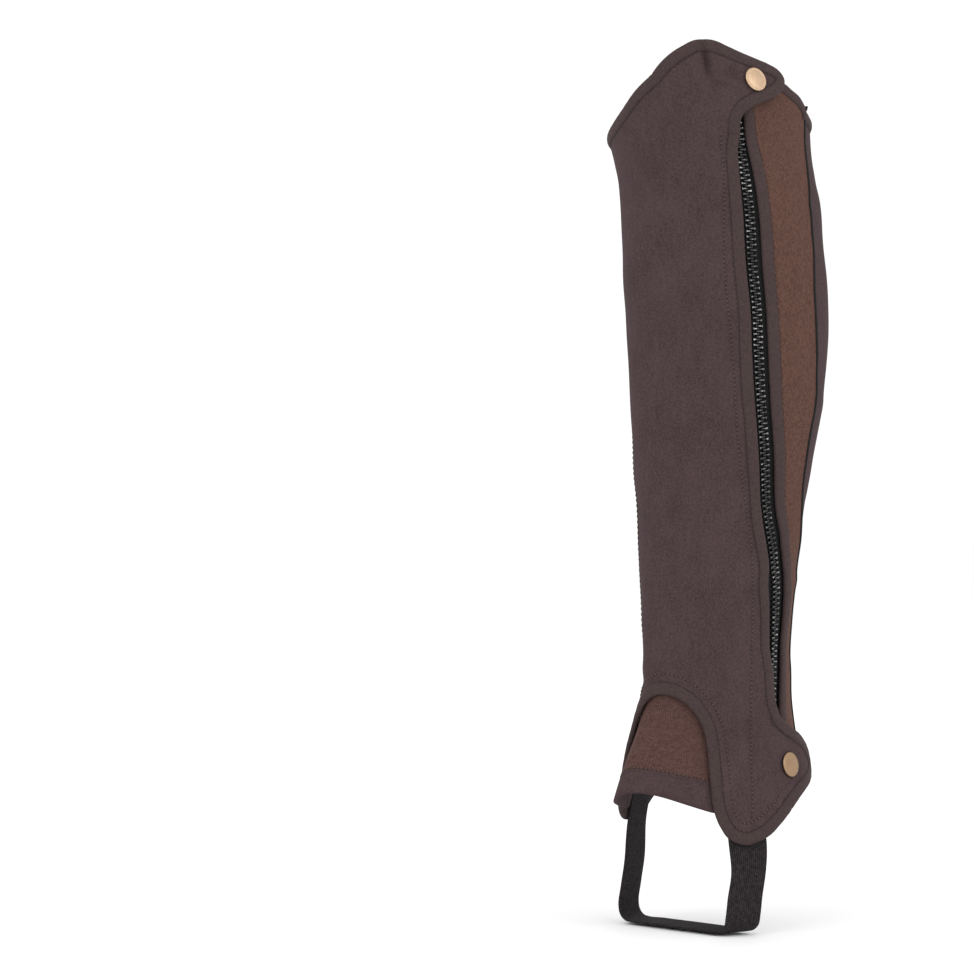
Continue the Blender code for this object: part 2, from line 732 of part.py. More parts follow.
def turned(name, collection, materials, finish, place, surface, profile):
    """A round piece on the cloth, turned about the cloth's normal at a place."""
    place = np.array([place])
    tangent, side, normal = (axis[0] for axis in directions(np.vstack([place, place + (0.0, 0.5)]), surface))
    middle = surface(place)[0]
    angle = np.linspace(0.0, 2 * np.pi, TURNED_SIDES, endpoint=False)[:, None]
    spokes = np.cos(angle) * side + np.sin(angle) * tangent
    closed = profile[0][0] > 0.0
    rows = [row for row in profile if row[0] > 0.0]
    rings = np.stack([middle + spokes * radius + normal * out for radius, out in rows])
    points, faces = swept(rings)
    sides, count = TURNED_SIDES, len(rows)
    k = np.arange(sides)
    following = (k + 1) % sides
    if closed:
        last = (count - 1) * sides
        faces = faces[:-2] + np.stack([last + k, last + following, following, k], axis=-1).tolist()
    else:
        ends = np.array([middle + normal * profile[0][1], middle + normal * profile[-1][1]])
        low, high = count * sides, count * sides + 1
        fans = [(low, b, a) for a, b in zip(k.tolist(), following.tolist())]
        top = (count - 1) * sides
        fans += [(high, top + a, top + b) for a, b in zip(k.tolist(), following.tolist())]
        points, faces = np.vstack([points, ends]), faces[:-2] + fans
    thing = new_object(name, collection, materials, finish, points, faces)
    recalculate(thing)
    thing.data.set_sharp_from_angle(angle=np.radians(40))
    return thing


def zip_plate(name, collection, materials, finish, height, size, out, corner):
    """A flat piece over the middle of the zip, with cut corners, standing between two distances out."""
    width, length = size
    place = seam_path(ZIP_TABLE, height + 1.0, height - 1.0)
    tangent, side, normal = (axis[len(axis) // 2] for axis in directions(place, close_cloth))
    middle = close_cloth(np.array([[column_at(ZIP_TABLE, "azimuth", height), height]]))[0]
    half, reach = width / 2, length / 2
    outline = [(half, corner - reach), (half, reach - corner), (half - corner, reach), (corner - half, reach)]
    outline += [(-across, -along) for across, along in outline]
    rings = np.array([[middle + side * a + tangent * b + normal * c for a, b in outline] for c in out])
    thing = new_object(name, collection, materials, finish, *swept(rings), smooth=False)
    recalculate(thing)
    edge = thing.modifiers.new("edge", "BEVEL")
    edge.width = 0.35 * MM
    edge.segments = 1
    return thing


def seam_between(table, top, bottom):
    """The two sides of a seam, half the seam gap away on each side."""
    seam = thinned(seam_path(table, top, bottom), close_cloth)
    return seam, beside(seam, close_cloth, SEAM_GAP / 2), beside(seam, close_cloth, -SEAM_GAP / 2)


def crossing_height(path, table, turn=0.0):
    """The height at which a path crosses a seam, or comes nearest to it at its end."""
    past = path[:, 0] - turn - column_at(table, "azimuth", path[:, 1])
    flips = np.flatnonzero(past[1:] * past[:-1] < 0)
    if len(flips) == 0:
        near = np.argmin(np.abs(past))
        return path[near, 1]
    k = flips[0]
    return path[k, 1] + past[k] / (past[k] - past[k + 1]) * (path[k + 1, 1] - path[k, 1])


def make_panels(collection, materials, edges, stretch):
    """The suede panels, the grip patch and label that lie on them, and the stretch panel."""
    bound = inset_edge(edges, lifted_cloth, BINDING_WIDTH + SEAM_GAP, -360.0, 1)
    outer = np.flatnonzero(bound[:, 0] > column_at(INNER_SEAM_TABLE, "azimuth", bound[:, 1]))
    top, hem = bound[: outer[0] + 1], bound[outer[-1] :]
    ends = [crossing_height(path, INNER_SEAM_TABLE) for path in (top, hem)]
    _, outer_seam, inner_seam = seam_between(INNER_SEAM_TABLE, *ends)

    outline = joined(cut_at_seam(bound, INNER_SEAM_TABLE, 0.0, 1, False), outer_seam[::-1])
    (low_azimuth, low), (high_azimuth, high) = LABEL_LOW, LABEL_HIGH
    across = np.linspace(low_azimuth, high_azimuth, 6)
    up = np.linspace(low, high, 5)
    label_edge = np.array(
        [(a, low) for a in across[:-1]] + [(high_azimuth, h) for h in up[:-1]]
        + [(a, high) for a in across[:0:-1]] + [(low_azimuth, h) for h in up[:0:-1]]
    )
    places, faces = triangulated(outline, [label_edge], PANEL_SPACING)
    cloth_piece("outer_panel", collection, materials, "suede", lifted_cloth, places, faces, 0.0, SUEDE)
    label_out = -(SUEDE + SEAM_GAP)
    cloth_piece(
        "label", collection, materials, "label", lifted_cloth, *faces_within(places, faces, label_edge), label_out,
        LABEL_THICKNESS,
    )

    ends = [crossing_height(path, BACK_SEAM_TABLE, -360.0) for path in (top, hem)]
    seam, outer_back, inner_back = seam_between(BACK_SEAM_TABLE, *ends)
    outline = joined(
        cut_at_seam(top, INNER_SEAM_TABLE, 0.0, -1, False)[::-1], outer_back - (360.0, 0.0),
        cut_at_seam(hem, INNER_SEAM_TABLE, 0.0, -1, False)[::-1], inner_seam[::-1],
    )
    patch = thinned(smooth_path((*PATCH_EDGE, PATCH_EDGE[0])), close_cloth)[:-1]
    places, faces = triangulated(outline, [patch], PANEL_SPACING)
    cloth_piece("inner_panel", collection, materials, "suede", close_cloth, places, faces, 0.0, SUEDE)
    cloth_piece(
        "grip_patch", collection, materials, "suede", close_cloth, *faces_within(places, faces, patch),
        SEAM_GAP + PATCH_THICKNESS, PATCH_THICKNESS,
    )

    bound = inset_edge(stretch, close_cloth, BINDING_WIDTH + SEAM_GAP, 0.0, -1)
    places, faces = triangulated(joined(bound, inner_back), [], PANEL_SPACING)
    cloth_piece("stretch_panel", collection, materials, "stretch", close_cloth, places, faces, 0.0, STRETCH)
    return seam


def make_bindings(collection, materials, edges, stretch):
    """One binding for each stretch of edge, a seam gap apart where two of them meet."""
    for paths, surface in ((edges, lifted_cloth), (stretch, close_cloth)):
        whole = np.vstack([path[:-1] for path in paths.values()] + [list(paths.values())[-1][-1:]])
        rings, tangent = binding_rings(whole, surface)
        joints = np.cumsum([0] + [len(path) - 1 for path in paths.values()])
        for name, start, end in zip(paths, joints, joints[1:]):
            own = rings[start : end + 1].copy()
            if start > 0:
                own[0] += tangent[start] * SEAM_GAP / 2
            if end < len(rings) - 1:
                own[-1] -= tangent[end] * SEAM_GAP / 2
            thing = new_object(name, collection, materials, "binding", *swept(own))
            recalculate(thing)
            thing.data.set_sharp_from_angle(angle=np.radians(60))


def make_instep(collection, materials, edges):
    """The elastic gusset over the instep and the band that hems it, tucked under the arch."""
    tucked = beside(edges["arch_binding"], close_cloth, -TUCK)
    band_top = column_at(BAND_TABLE, "top", tucked[:, 0])
    above = tucked[tucked[:, 1] > band_top + 1.0]
    azimuths = np.linspace(above[-1, 0], above[0, 0], 13)
    lower = np.stack([azimuths, column_at(BAND_TABLE, "top", azimuths) + SEAM_GAP / 2], axis=-1)
    places, faces = triangulated(joined(above, lower), [], PANEL_SPACING * 0.8)
    cloth_piece("instep_gusset", collection, materials, "elastic", close_cloth, places, faces, -2.9, ELASTIC)

    azimuths = np.linspace(*BAND_ENDS, 14)
    top = np.stack([azimuths, column_at(BAND_TABLE, "top", azimuths) - SEAM_GAP / 2], axis=-1)
    bottom = np.stack([azimuths, column_at(BAND_TABLE, "bottom", azimuths)], axis=-1)
    places, faces = triangulated(joined(top, bottom[::-1]), [], PANEL_SPACING * 0.8)
    cloth_piece("instep_band", collection, materials, "suede", close_cloth, places, faces, BAND_OUT, BAND_THICKNESS)


def make_zip(collection, materials):
    heights = np.linspace(TAPE_TOP, TAPE_BOTTOM, 42)
    middle = np.stack([column_at(ZIP_TABLE, "azimuth", heights), heights], axis=-1)
    for name, side in (("zip_tape_front", -1.0), ("zip_tape_back", 1.0)):
        across = np.array([TAPE_GAP / 2, TAPE_WIDTH / 2, TAPE_WIDTH])[::int(side)]
        places = np.stack([beside(middle, close_cloth, side * distance) for distance in across], axis=1)
        points, normal = close_cloth(places), outward(close_cloth, places)
        outer, inner = points + normal * TAPE_OUT, points + normal * (TAPE_OUT - TAPE_THICKNESS)
        strip(name, collection, materials, "zip_black", outer, inner)
    zip_plate("zip_slider", collection, materials, "zip_black", SLIDER_HEIGHT, SLIDER_SIZE, SLIDER_OUT, 1.6)
    zip_plate("zip_pull", collection, materials, "zip_black", PULL_HEIGHT, PULL_SIZE, PULL_OUT, 1.8)
    zip_plate("zip_box", collection, materials, "zip_black", BOX_HEIGHT, BOX_SIZE, BOX_OUT, 0.8)


def make_snaps(collection, materials):
    for name, place in (("top_snap", TOP_SNAP), ("lower_snap", LOWER_SNAP)):
        turned(name + "_cap", collection, materials, "brass", place, lifted_cloth, SNAP_CAP)
        turned(name + "_socket", collection, materials, "brass", place, lifted_cloth, SNAP_SOCKET)
        turned(name + "_stud", collection, materials, "brass", place, close_cloth, SNAP_STUD)
        turned(name + "_ring", collection, materials, "brass", place, close_cloth, SNAP_RING)


def strap_on_leg(rows, side, across, surface):
    """Points of one edge of the strap where it lies under a tongue; across is from the middle line, forward positive."""
    rows = np.array(rows)
    heights, forward = rows[:, 0], rows[:, 1] + across
    azimuth = side * np.degrees(np.arccos(forward / column_at(LEG_TABLE, "front", heights)))
    places = np.stack([azimuth, heights], axis=-1)
    return surface(places) + outward(surface, places) * STRAP_OUT


def make_strap(collection, materials):
    """The elastic strap under the foot: sewn inside both tongues, straight down and flat below the sole."""
    low = np.array(STRAP_LOW)
    turn = np.radians(np.array([22.5, 45.0, 67.5, 90.0]))
    corner_z = low[-1, 0] - STRAP_CORNER * np.sin(turn)
    edges = []
    for across in (STRAP_WIDTH / 2, -STRAP_WIDTH / 2):
        halves = []
        for side, span, rows, surface in (
            (1.0, STRAP_SPAN_OUTER, STRAP_OUTER, lifted_cloth), (-1.0, STRAP_SPAN_INNER, STRAP_INNER, close_cloth),
        ):
            corner_x = span - STRAP_CORNER * (1 - np.cos(turn))
            flat_x = np.linspace(corner_x[-1], 0.0, 4)[1:]
            x = np.concatenate([np.full(len(low), span), corner_x, flat_x])
            x = (x - STRAP_TOE_IN * across * np.clip(x / corner_x[-1], 0.0, 1.0)) * side
            z = np.concatenate([low[:, 0], corner_z, np.full(len(flat_x), STRAP_BOTTOM)])
            forward = np.concatenate([low[:, 1], np.full(len(turn) + len(flat_x), low[-1, 1])]) + across
            below = np.stack([x, -forward, z], axis=-1)
            halves.append(np.vstack([strap_on_leg(rows, side, across, surface), below]))
        edges.append(np.vstack([halves[0], halves[1][-2::-1]]))
    outer = np.stack([edges[0], edges[0] / 2 + edges[1] / 2, edges[1]], axis=1)
    along = np.gradient(outer, axis=0)
    normal = np.cross(along, np.gradient(outer, axis=1))
    normal /= np.linalg.norm(normal, axis=-1, keepdims=True)
    facing = np.sign((normal[:, 1] * (outer[:, 1] - (0.0, -STRAP_LOW[-1][1], STRAP_LOW[0][0]))).sum(-1).mean())
    strip("instep_strap", collection, materials, "webbing", outer, outer - normal * facing * STRAP_THICKNESS)


def make_seam_cord(collection, materials, seam):
    """The cord in the back seam, whose two tips show past the bound edges."""
    top, low = seam[0, 1] + BINDING_WIDTH + SEAM_CORD_TIPS[0], seam[-1, 1] - BINDING_WIDTH - SEAM_CORD_TIPS[1]
    path = thinned(seam_path(BACK_SEAM_TABLE, top, low), close_cloth)
    _, side, normal = directions(path, close_cloth)
    centre = close_cloth(path) + normal * SEAM_CORD_OUT
    angle = np.linspace(0.0, 2 * np.pi, 6, endpoint=False)[:, None]
    rings = centre[:, None] + SEAM_CORD_RADIUS * (np.cos(angle) * side[:, None] + np.sin(angle) * normal[:, None])
    recalculate(new_object("back_seam_cord", collection, materials, "zip_black", *swept(rings)))


def main():
    clear_scene()
    collection = new_collection()
    materials = make_materials()
    edges = bound_edges()
    stretch = stretch_edges()
    seam = make_panels(collection, materials, edges, stretch)
    make_bindings(collection, materials, edges, stretch)
    make_instep(collection, materials, edges)
    make_zip(collection, materials)
    make_snaps(collection, materials)
    make_strap(collection, materials)
    make_seam_cord(collection, materials, seam)


main()
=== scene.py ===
"""Half chap for the left leg, dressed for pictures: suede, zip teeth, sewing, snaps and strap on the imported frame.

The toe points to -Y, the outer side is +X and up is +Z. A place on the leg is an azimuth in degrees, 0 at the shin,
positive round the outer side, and a height in millimetres. Meshes are in metres.
"""

import bmesh
import bpy
import numpy as np
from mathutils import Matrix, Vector
from mathutils.bvhtree import BVHTree


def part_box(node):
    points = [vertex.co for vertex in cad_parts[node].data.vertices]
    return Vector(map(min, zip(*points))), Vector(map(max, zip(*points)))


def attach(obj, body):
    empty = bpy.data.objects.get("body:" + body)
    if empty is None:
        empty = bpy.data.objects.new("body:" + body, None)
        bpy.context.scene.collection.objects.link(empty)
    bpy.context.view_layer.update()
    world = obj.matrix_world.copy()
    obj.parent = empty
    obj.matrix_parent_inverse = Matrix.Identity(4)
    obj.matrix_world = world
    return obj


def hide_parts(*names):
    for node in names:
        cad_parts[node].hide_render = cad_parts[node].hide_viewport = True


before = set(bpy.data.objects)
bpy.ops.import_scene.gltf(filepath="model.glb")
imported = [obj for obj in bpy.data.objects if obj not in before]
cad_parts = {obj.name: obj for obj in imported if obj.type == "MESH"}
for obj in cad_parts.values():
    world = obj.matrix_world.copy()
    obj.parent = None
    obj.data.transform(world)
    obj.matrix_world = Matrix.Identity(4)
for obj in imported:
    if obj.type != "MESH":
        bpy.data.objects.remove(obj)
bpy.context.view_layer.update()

# Studio: a plain pale floor under the strap, even daylight from all round and three large soft lamps.
# The camera stands at the height of the ankle, two metres off the outer side of the toe.
STUDIO_TURN = np.radians(42.0)
CAMERA_AWAY = 2.0
CAMERA_HEIGHT = -0.1115
CAMERA_TURN = np.radians(46.14)
CAMERA_LENS = 121.97
CAMERA_SENSOR = 36.0
CAMERA_SEES = 60.0
FLOOR_HEIGHT = -0.3745
FLOOR_RADIUS = 14.0
FLOOR_SIDES = 96
FLOOR_COLOUR = (0.95, 0.95, 0.95, 1.0)
FLOOR_ROUGHNESS = 0.9
SKY_COLOUR = (1.0, 1.0, 1.0, 1.0)
SKY_STRENGTH = 1.05
LAMP_SIZE = 1.6
LAMP_AIM = Vector((0.0, 0.0, -0.1))


def stand(thing):
    """The object, linked to the scene."""
    bpy.context.scene.collection.objects.link(thing)
    return thing


def new_finish(name):
    """A material of nodes, with its node tree and its shader."""
    finish = bpy.data.materials.new(name)
    finish.use_nodes = True
    return finish, finish.node_tree, finish.node_tree.nodes["Principled BSDF"]


def fill(tree, node, inputs):
    """The node, its inputs, by name or number, set to values or linked to sockets."""
    for key, value in inputs.items():
        if isinstance(value, bpy.types.NodeSocket):
            tree.links.new(value, node.inputs[key])
        else:
            node.inputs[key].default_value = value
    return node


lens = bpy.data.cameras.new("camera")
lens.lens = CAMERA_LENS
lens.sensor_width = CAMERA_SENSOR
lens.clip_end = CAMERA_SEES
camera = stand(bpy.data.objects.new("camera", lens))
camera.location = (CAMERA_AWAY * np.sin(STUDIO_TURN), -CAMERA_AWAY * np.cos(STUDIO_TURN), CAMERA_HEIGHT)
camera.rotation_euler = (np.pi / 2, 0.0, CAMERA_TURN)
bpy.context.scene.camera = camera
bpy.context.scene.view_settings.view_transform = "Standard"

floor_shape = bmesh.new()
bmesh.ops.create_circle(floor_shape, cap_ends=True, segments=FLOOR_SIDES, radius=FLOOR_RADIUS)
bmesh.ops.translate(floor_shape, verts=floor_shape.verts, vec=(0.0, 0.0, FLOOR_HEIGHT))
floor_mesh = bpy.data.meshes.new("floor")
floor_shape.to_mesh(floor_mesh)
floor_shape.free()
floor_paint, floor_tree, floor_shader = new_finish("floor_paint")
fill(floor_tree, floor_shader, {"Base Color": FLOOR_COLOUR, "Roughness": FLOOR_ROUGHNESS, "Specular IOR Level": 0.0})
floor_mesh.materials.append(floor_paint)
stand(bpy.data.objects.new("floor", floor_mesh))

sky = bpy.data.worlds.new("daylight")
sky.use_nodes = True
fill(sky.node_tree, sky.node_tree.nodes["Background"], {"Color": SKY_COLOUR, "Strength": SKY_STRENGTH})
bpy.context.scene.world = sky


def soft_lamp(name, azimuth, height, away, power):
    """A square soft lamp that looks at the calf, placed by its azimuth round the leg, height and distance."""
    light = bpy.data.lights.new(name, "AREA")
    light.size = LAMP_SIZE
    light.energy = power
    lamp = stand(bpy.data.objects.new(name, light))
    turn = np.radians(azimuth)
    lamp.location = (away * np.sin(turn), -away * np.cos(turn), height)
    lamp.rotation_euler = (LAMP_AIM - lamp.location).to_track_quat("-Z", "Y").to_euler()


soft_lamp("key_lamp", azimuth=5.0, height=1.5, away=2.3, power=12.0)
soft_lamp("side_lamp", azimuth=95.0, height=1.0, away=2.4, power=11.0)
soft_lamp("back_lamp", azimuth=215.0, height=1.3, away=2.4, power=9.0)

# Leg: the form that the cloth is cut to, an oval at each height with a reach of its own each way.
# The outer panel has two corners that stand off it, the top tab and the lower flap.
LEG_COLUMNS = ("height", "front", "back", "outer", "inner", "taper")
LEG = (
    (-330, 110, 60, 50, 48, 0.34), (-310, 105, 58, 47, 45, 0.34), (-290, 96, 55.5, 42.8, 41, 0.34),
    (-270, 85, 53.3, 39.4, 38, 0.32), (-253, 75.5, 51, 37, 35, 0.28), (-235, 68.5, 47.5, 35.5, 33.5, 0.2),
    (-215, 64.5, 45, 35.5, 35, 0.1), (-192, 63, 43.5, 37.5, 38, 0.03), (-168, 61, 43, 41.5, 41.5, 0),
    (-144, 59, 43, 46.5, 46, 0), (-119, 58.8, 45.2, 50, 50, 0), (-95, 59.8, 49.5, 54.8, 54, 0),
    (-71, 61, 54.5, 59, 55, 0), (-47, 62, 58, 61.2, 57, 0), (-22, 62.5, 61, 61.5, 58.5, 0),
    (2, 62.3, 62.3, 60.1, 60.1, 0), (26, 61.5, 62, 58.5, 62.5, 0), (50, 61.3, 60.5, 57, 64.5, 0),
    (74, 62, 58.8, 52, 68.5, 0), (94, 64.3, 60, 45.5, 74, 0), (118, 66, 62, 41, 76.5, 0), (140, 67, 63.5, 34, 77, 0),
    (165, 67.5, 64.5, 26, 77.5, 0),
)
# A crease is its azimuth, height, reach round the leg, reach up it and depth.
CREASES = (
    (47, 127, 3.5, 10, -1.3), (53, 118, 5, 9, 0.7), (-22, 62, 12, 26, -1.4), (2, -200, 17, 9, 0.9),
    (-6, -217, 20, 7, -0.8), (168, -150, 26, 12, -1.2), (-150, -212, 24, 9, 0.9), (-175, -232, 24, 8, -0.9),
)
TAB_RISE_AZIMUTH = (38.0, 56.0)
TAB_RISE_HEIGHT = (84.0, 107.0)
FLAP_RISE_AZIMUTH = (66.0, 82.0)
FLAP_RISE_HEIGHT = (-204.0, -236.0)
SNAP_LIFT = 6.0
HALF_STEP = 0.5
MM = 0.001


def columns(names, rows):
    """The table as one array for each named column."""
    return dict(zip(names, np.array(rows, float).T))


def smooth_at(where, knots, values):
    """Values between the knots: cubics whose slope at each knot is the mean slope beside it."""
    slopes = np.gradient(values, knots, axis=0)
    span = np.clip(np.searchsorted(knots, where, "right") - 1, 0, len(knots) - 2)
    width = knots[span + 1] - knots[span]
    t = (where - knots[span]) / width
    if values.ndim == 2:
        t, width = t[..., None], width[..., None]
    start = (1 + 2 * t) * (1 - t) ** 2 * values[span] + t * (1 - t) ** 2 * width * slopes[span]
    return start + t * t * (3 - 2 * t) * values[span + 1] + t * t * (t - 1) * width * slopes[span + 1]


def column_at(table, name, where):
    """A column of a table at given values of its first column."""
    knots = next(iter(table.values()))
    return smooth_at(np.asarray(where, float), knots, table[name])


def ramp(start, end, value):
    """0 before start and 1 after end, with no corner at either."""
    t = np.clip((value - start) / (end - start), 0.0, 1.0)
    return t * t * (3 - 2 * t)


def half_turned(degrees):
    """Degrees brought between minus and plus half a turn."""
    return (degrees + 180.0) % 360.0 - 180.0


LEG_TABLE = columns(LEG_COLUMNS, LEG)


def leg_oval(places):
    """Points on the leg: x is a side's reach * sin * (1 - taper * cos squared), y is minus an end's reach * cos."""
    angle = np.radians(places[..., 0])
    row = {name: column_at(LEG_TABLE, name, places[..., 1]) for name in LEG_COLUMNS[1:]}
    sideways = np.where(np.sin(angle) > 0, row["outer"], row["inner"]) * (1 - row["taper"] * np.cos(angle) ** 2)
    lengthways = np.where(np.cos(angle) > 0, row["front"], row["back"])
    return np.stack([sideways * np.sin(angle), -lengthways * np.cos(angle), places[..., 1]], axis=-1)


def crease_depth(places):
    """The sum of the creases, each a soft hump whose height falls off as a bell curve each way."""
    depth = np.zeros(places.shape[:-1])
    for azimuth, height, reach_azimuth, reach_height, deep in CREASES:
        away = half_turned(places[..., 0] - azimuth)
        depth += deep * np.exp(-((away / reach_azimuth) ** 2) - ((places[..., 1] - height) / reach_height) ** 2)
    return depth


def surface_steps(surface, places):
    """How far the surface goes in one degree round the leg, and in one millimetre up it."""
    turn = surface(places + (HALF_STEP, 0.0)) - surface(places - (HALF_STEP, 0.0))
    rise = surface(places + (0.0, HALF_STEP)) - surface(places - (0.0, HALF_STEP))
    return turn, rise


def unit(vectors):
    """The vectors over their own lengths."""
    return vectors / np.linalg.norm(vectors, axis=-1, keepdims=True)


def outward(surface, places):
    """Unit normals of a surface, pointing away from the leg: the step round crossed with the step up."""
    return unit(np.cross(*surface_steps(surface, places)))


def close_cloth(places):
    """The outer face of the cloth that lies on the leg."""
    return leg_oval(places) + outward(leg_oval, places) * crease_depth(places)[..., None]


def lifted_cloth(places):
    """The outer face of the outer panel, whose tab and flap rise over what they fasten to."""
    azimuth, height = places[..., 0], places[..., 1]
    tab = ramp(*TAB_RISE_AZIMUTH, azimuth) * ramp(*TAB_RISE_HEIGHT, height)
    flap = ramp(*FLAP_RISE_AZIMUTH, azimuth) * ramp(*FLAP_RISE_HEIGHT, height)
    rise = crease_depth(places) + SNAP_LIFT * np.maximum(tab, flap)
    return leg_oval(places) + outward(leg_oval, places) * rise[..., None]


def directions(path, surface):
    """Unit tangent, sideways and outward directions along a path; sideways is to the left, seen from outside."""
    points = surface(path)
    tangent = np.gradient(points, axis=0)
    normal = outward(surface, path)
    tangent = unit(tangent - normal * (tangent * normal).sum(-1, keepdims=True))
    return tangent, np.cross(normal, tangent), normal


def beside(path, surface, distance):
    """The path moved to its left along the cloth, seen from outside; least squares split the step into round and up."""
    turn, rise = surface_steps(surface, path)
    wanted = directions(path, surface)[1] * distance
    tt, tr, rr = (turn * turn).sum(-1), (turn * rise).sum(-1), (rise * rise).sum(-1)
    wt, wr = (wanted * turn).sum(-1), (wanted * rise).sum(-1)
    spread = tt * rr - tr * tr
    return path + np.stack([(wt * rr - wr * tr) / spread, (wr * tt - wt * tr) / spread], axis=-1)


def run_along(points):
    """The length of the line from its first point to each point."""
    return np.concatenate([[0.0], np.cumsum(np.linalg.norm(np.diff(points, axis=0), axis=1))])


def smooth_path(rows, first=0, last=None):
    """A smooth path through rows of azimuth and height, from one row to another, with points half a unit apart."""
    rows = np.array(rows, float)
    along = run_along(rows)
    start, end = along[first], along[-1 if last is None else last]
    return smooth_at(np.linspace(start, end, int((end - start) / HALF_STEP) + 2), along, rows)


def evenly(path, surface, spacing, shift=0.0):
    """Points of a path at even steps of length along the cloth."""
    along = run_along(surface(path))
    wanted = np.arange(shift, along[-1], spacing)
    return np.stack([np.interp(wanted, along, path[:, k]) for k in (0, 1)], axis=-1)


# Wear: cloth on a leg is never a true oval. Every soft piece takes the same slow waves and small puckers,
# which die out at the snaps, the slider and the strap, so that pieces stay in touch.
# A wave is its turns round the leg, cycles per metre of height, phase and depth.
WAVES = (
    (1, 4, 0.1, 0.45), (2, -7, 0.55, 0.4), (3, 11, 0.3, 0.26), (4, -17, 0.8, 0.16), (2, 25, 0.15, 0.12),
    (7, 19, 0.45, 0.1), (9, -31, 0.7, 0.06),
)
# A pucker is its azimuth, height, slope, reach along itself, reach across and depth.
PUCKERS = (
    (29.6, 138, -5, 13, 1.7, -3.2), (36.5, 134, -3, 13, 3.4, 1.8), (32.6, 116, -20, 15, 1.8, 1.2),
    (46, 132.2, -0.22, 9, 2, -2.4), (45, 126.3, -0.22, 12, 1.8, 2.6), (46, 138.5, -0.25, 8, 2, 1.4),
    (42, 112, 0.5, 12, 4, 0.6), (12, -212, 0.25, 26, 5, 0.9), (-4, -226, 0.15, 24, 4, -0.8),
    (22, -150, 0.3, 30, 7, 0.5), (-25, -120, -0.3, 28, 7, -0.5), (60, -246, 0.8, 15, 4, 0.6),
    (-110, 78, 0.35, 24, 5, -0.7), (-70, 88, -0.4, 20, 5, 0.6), (180, -190, 0.2, 24, 5, 0.9),
    (170, -220, -0.25, 22, 5, -0.9), (-130, -222, 0.3, 20, 5, 0.7), (112, 60, 0.5, 20, 4, -0.6),
    (120, -60, -0.4, 22, 5, 0.5), (124, -170, 0.3, 18, 4, 0.6),
)
MM_IN_A_DEGREE = 0.95
LEAST_REACH = 0.004
STILL = ("top_snap_cap", "lower_snap_cap", "zip_slider", "zip_box")
STILL_REACH = (0.008, 0.017)
CALM_BELOW = (-0.335, -0.3)


def eased(points):
    """Points in metres moved level, away from the leg's axis, by the sum of the waves and the puckers."""
    flat = np.hypot(points[..., 0], points[..., 1])
    turn = np.arctan2(points[..., 0], -points[..., 1])
    depth = np.zeros(flat.shape)
    for turns, per_metre, phase, deep in WAVES:
        depth += deep * np.sin(turns * turn + 2 * np.pi * (per_metre * points[..., 2] + phase))
    for azimuth, height, slope, along, across, deep in PUCKERS:
        away = half_turned(np.degrees(turn) - azimuth) * MM_IN_A_DEGREE
        rise = points[..., 2] / MM - height
        length = np.hypot(1.0, slope)
        down, over = (away + slope * rise) / length, (rise - slope * away) / length
        depth += deep * np.exp(-((down / along) ** 2) - (over / across) ** 2)
    for node in STILL:
        low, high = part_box(node)
        depth *= ramp(*STILL_REACH, np.linalg.norm(points - (np.array(low) + np.array(high)) / 2, axis=-1))
    depth *= ramp(*CALM_BELOW, points[..., 2])
    level = np.stack([points[..., 0], points[..., 1], np.zeros(flat.shape)], axis=-1)
    return points + level * (depth * MM / np.maximum(flat, LEAST_REACH))[..., None]


# Finishes: brushed microfibre, stretch cloth, bias strip, tape, thread and webbing, all made by node patterns.
# The nap and the weave are groups that more than one finish uses.
FIBRE_NOISE = {"Detail": 3.0, "Roughness": 0.65}
CLOUD_NOISE = {"Detail": 5.0, "Roughness": 0.6}
STREAK_NOISE = {"Scale": 170.0, "Detail": 4.0, "Roughness": 0.7}
STREAK_DRAWN = (1.0, 1.0, 0.35)
NAP_TONE_FLOOR = -0.35
CLOUD_IN_TONE = 0.42
STREAK_IN_TONE = 0.3
STREAK_IN_HEIGHT = 0.5
HALF_YARN = 0.5
RELIEF_GAIN = 4.0
RELIEF_IN_TONE = 0.55
CLOTH_SHEEN_ROUGHNESS = 0.55
CLOTH_BUMP = 0.7


def new_group(name, values):
    """An empty node group with a vector called Place, the named value inputs, and the outputs Tone and Height."""
    group = bpy.data.node_groups.new(name, "ShaderNodeTree")
    group.interface.new_socket("Place", in_out="INPUT", socket_type="NodeSocketVector")
    for value in values:
        group.interface.new_socket(value, in_out="INPUT", socket_type="NodeSocketFloat")
    for value in ("Tone", "Height"):
        group.interface.new_socket(value, in_out="OUTPUT", socket_type="NodeSocketFloat")
    return group, group.nodes.new("NodeGroupInput").outputs, group.nodes.new("NodeGroupOutput").inputs


def added(tree, kind, inputs=None, **settings):
    """The outputs of a new shader node of a kind."""
    node = tree.nodes.new("ShaderNode" + kind)
    for key, value in settings.items():
        setattr(node, key, value)
    return fill(tree, node, inputs or {}).outputs


def maths(tree, operation, *values):
    """The result of one sum on sockets or numbers."""
    return added(tree, "Math", dict(enumerate(values)), operation=operation)[0]


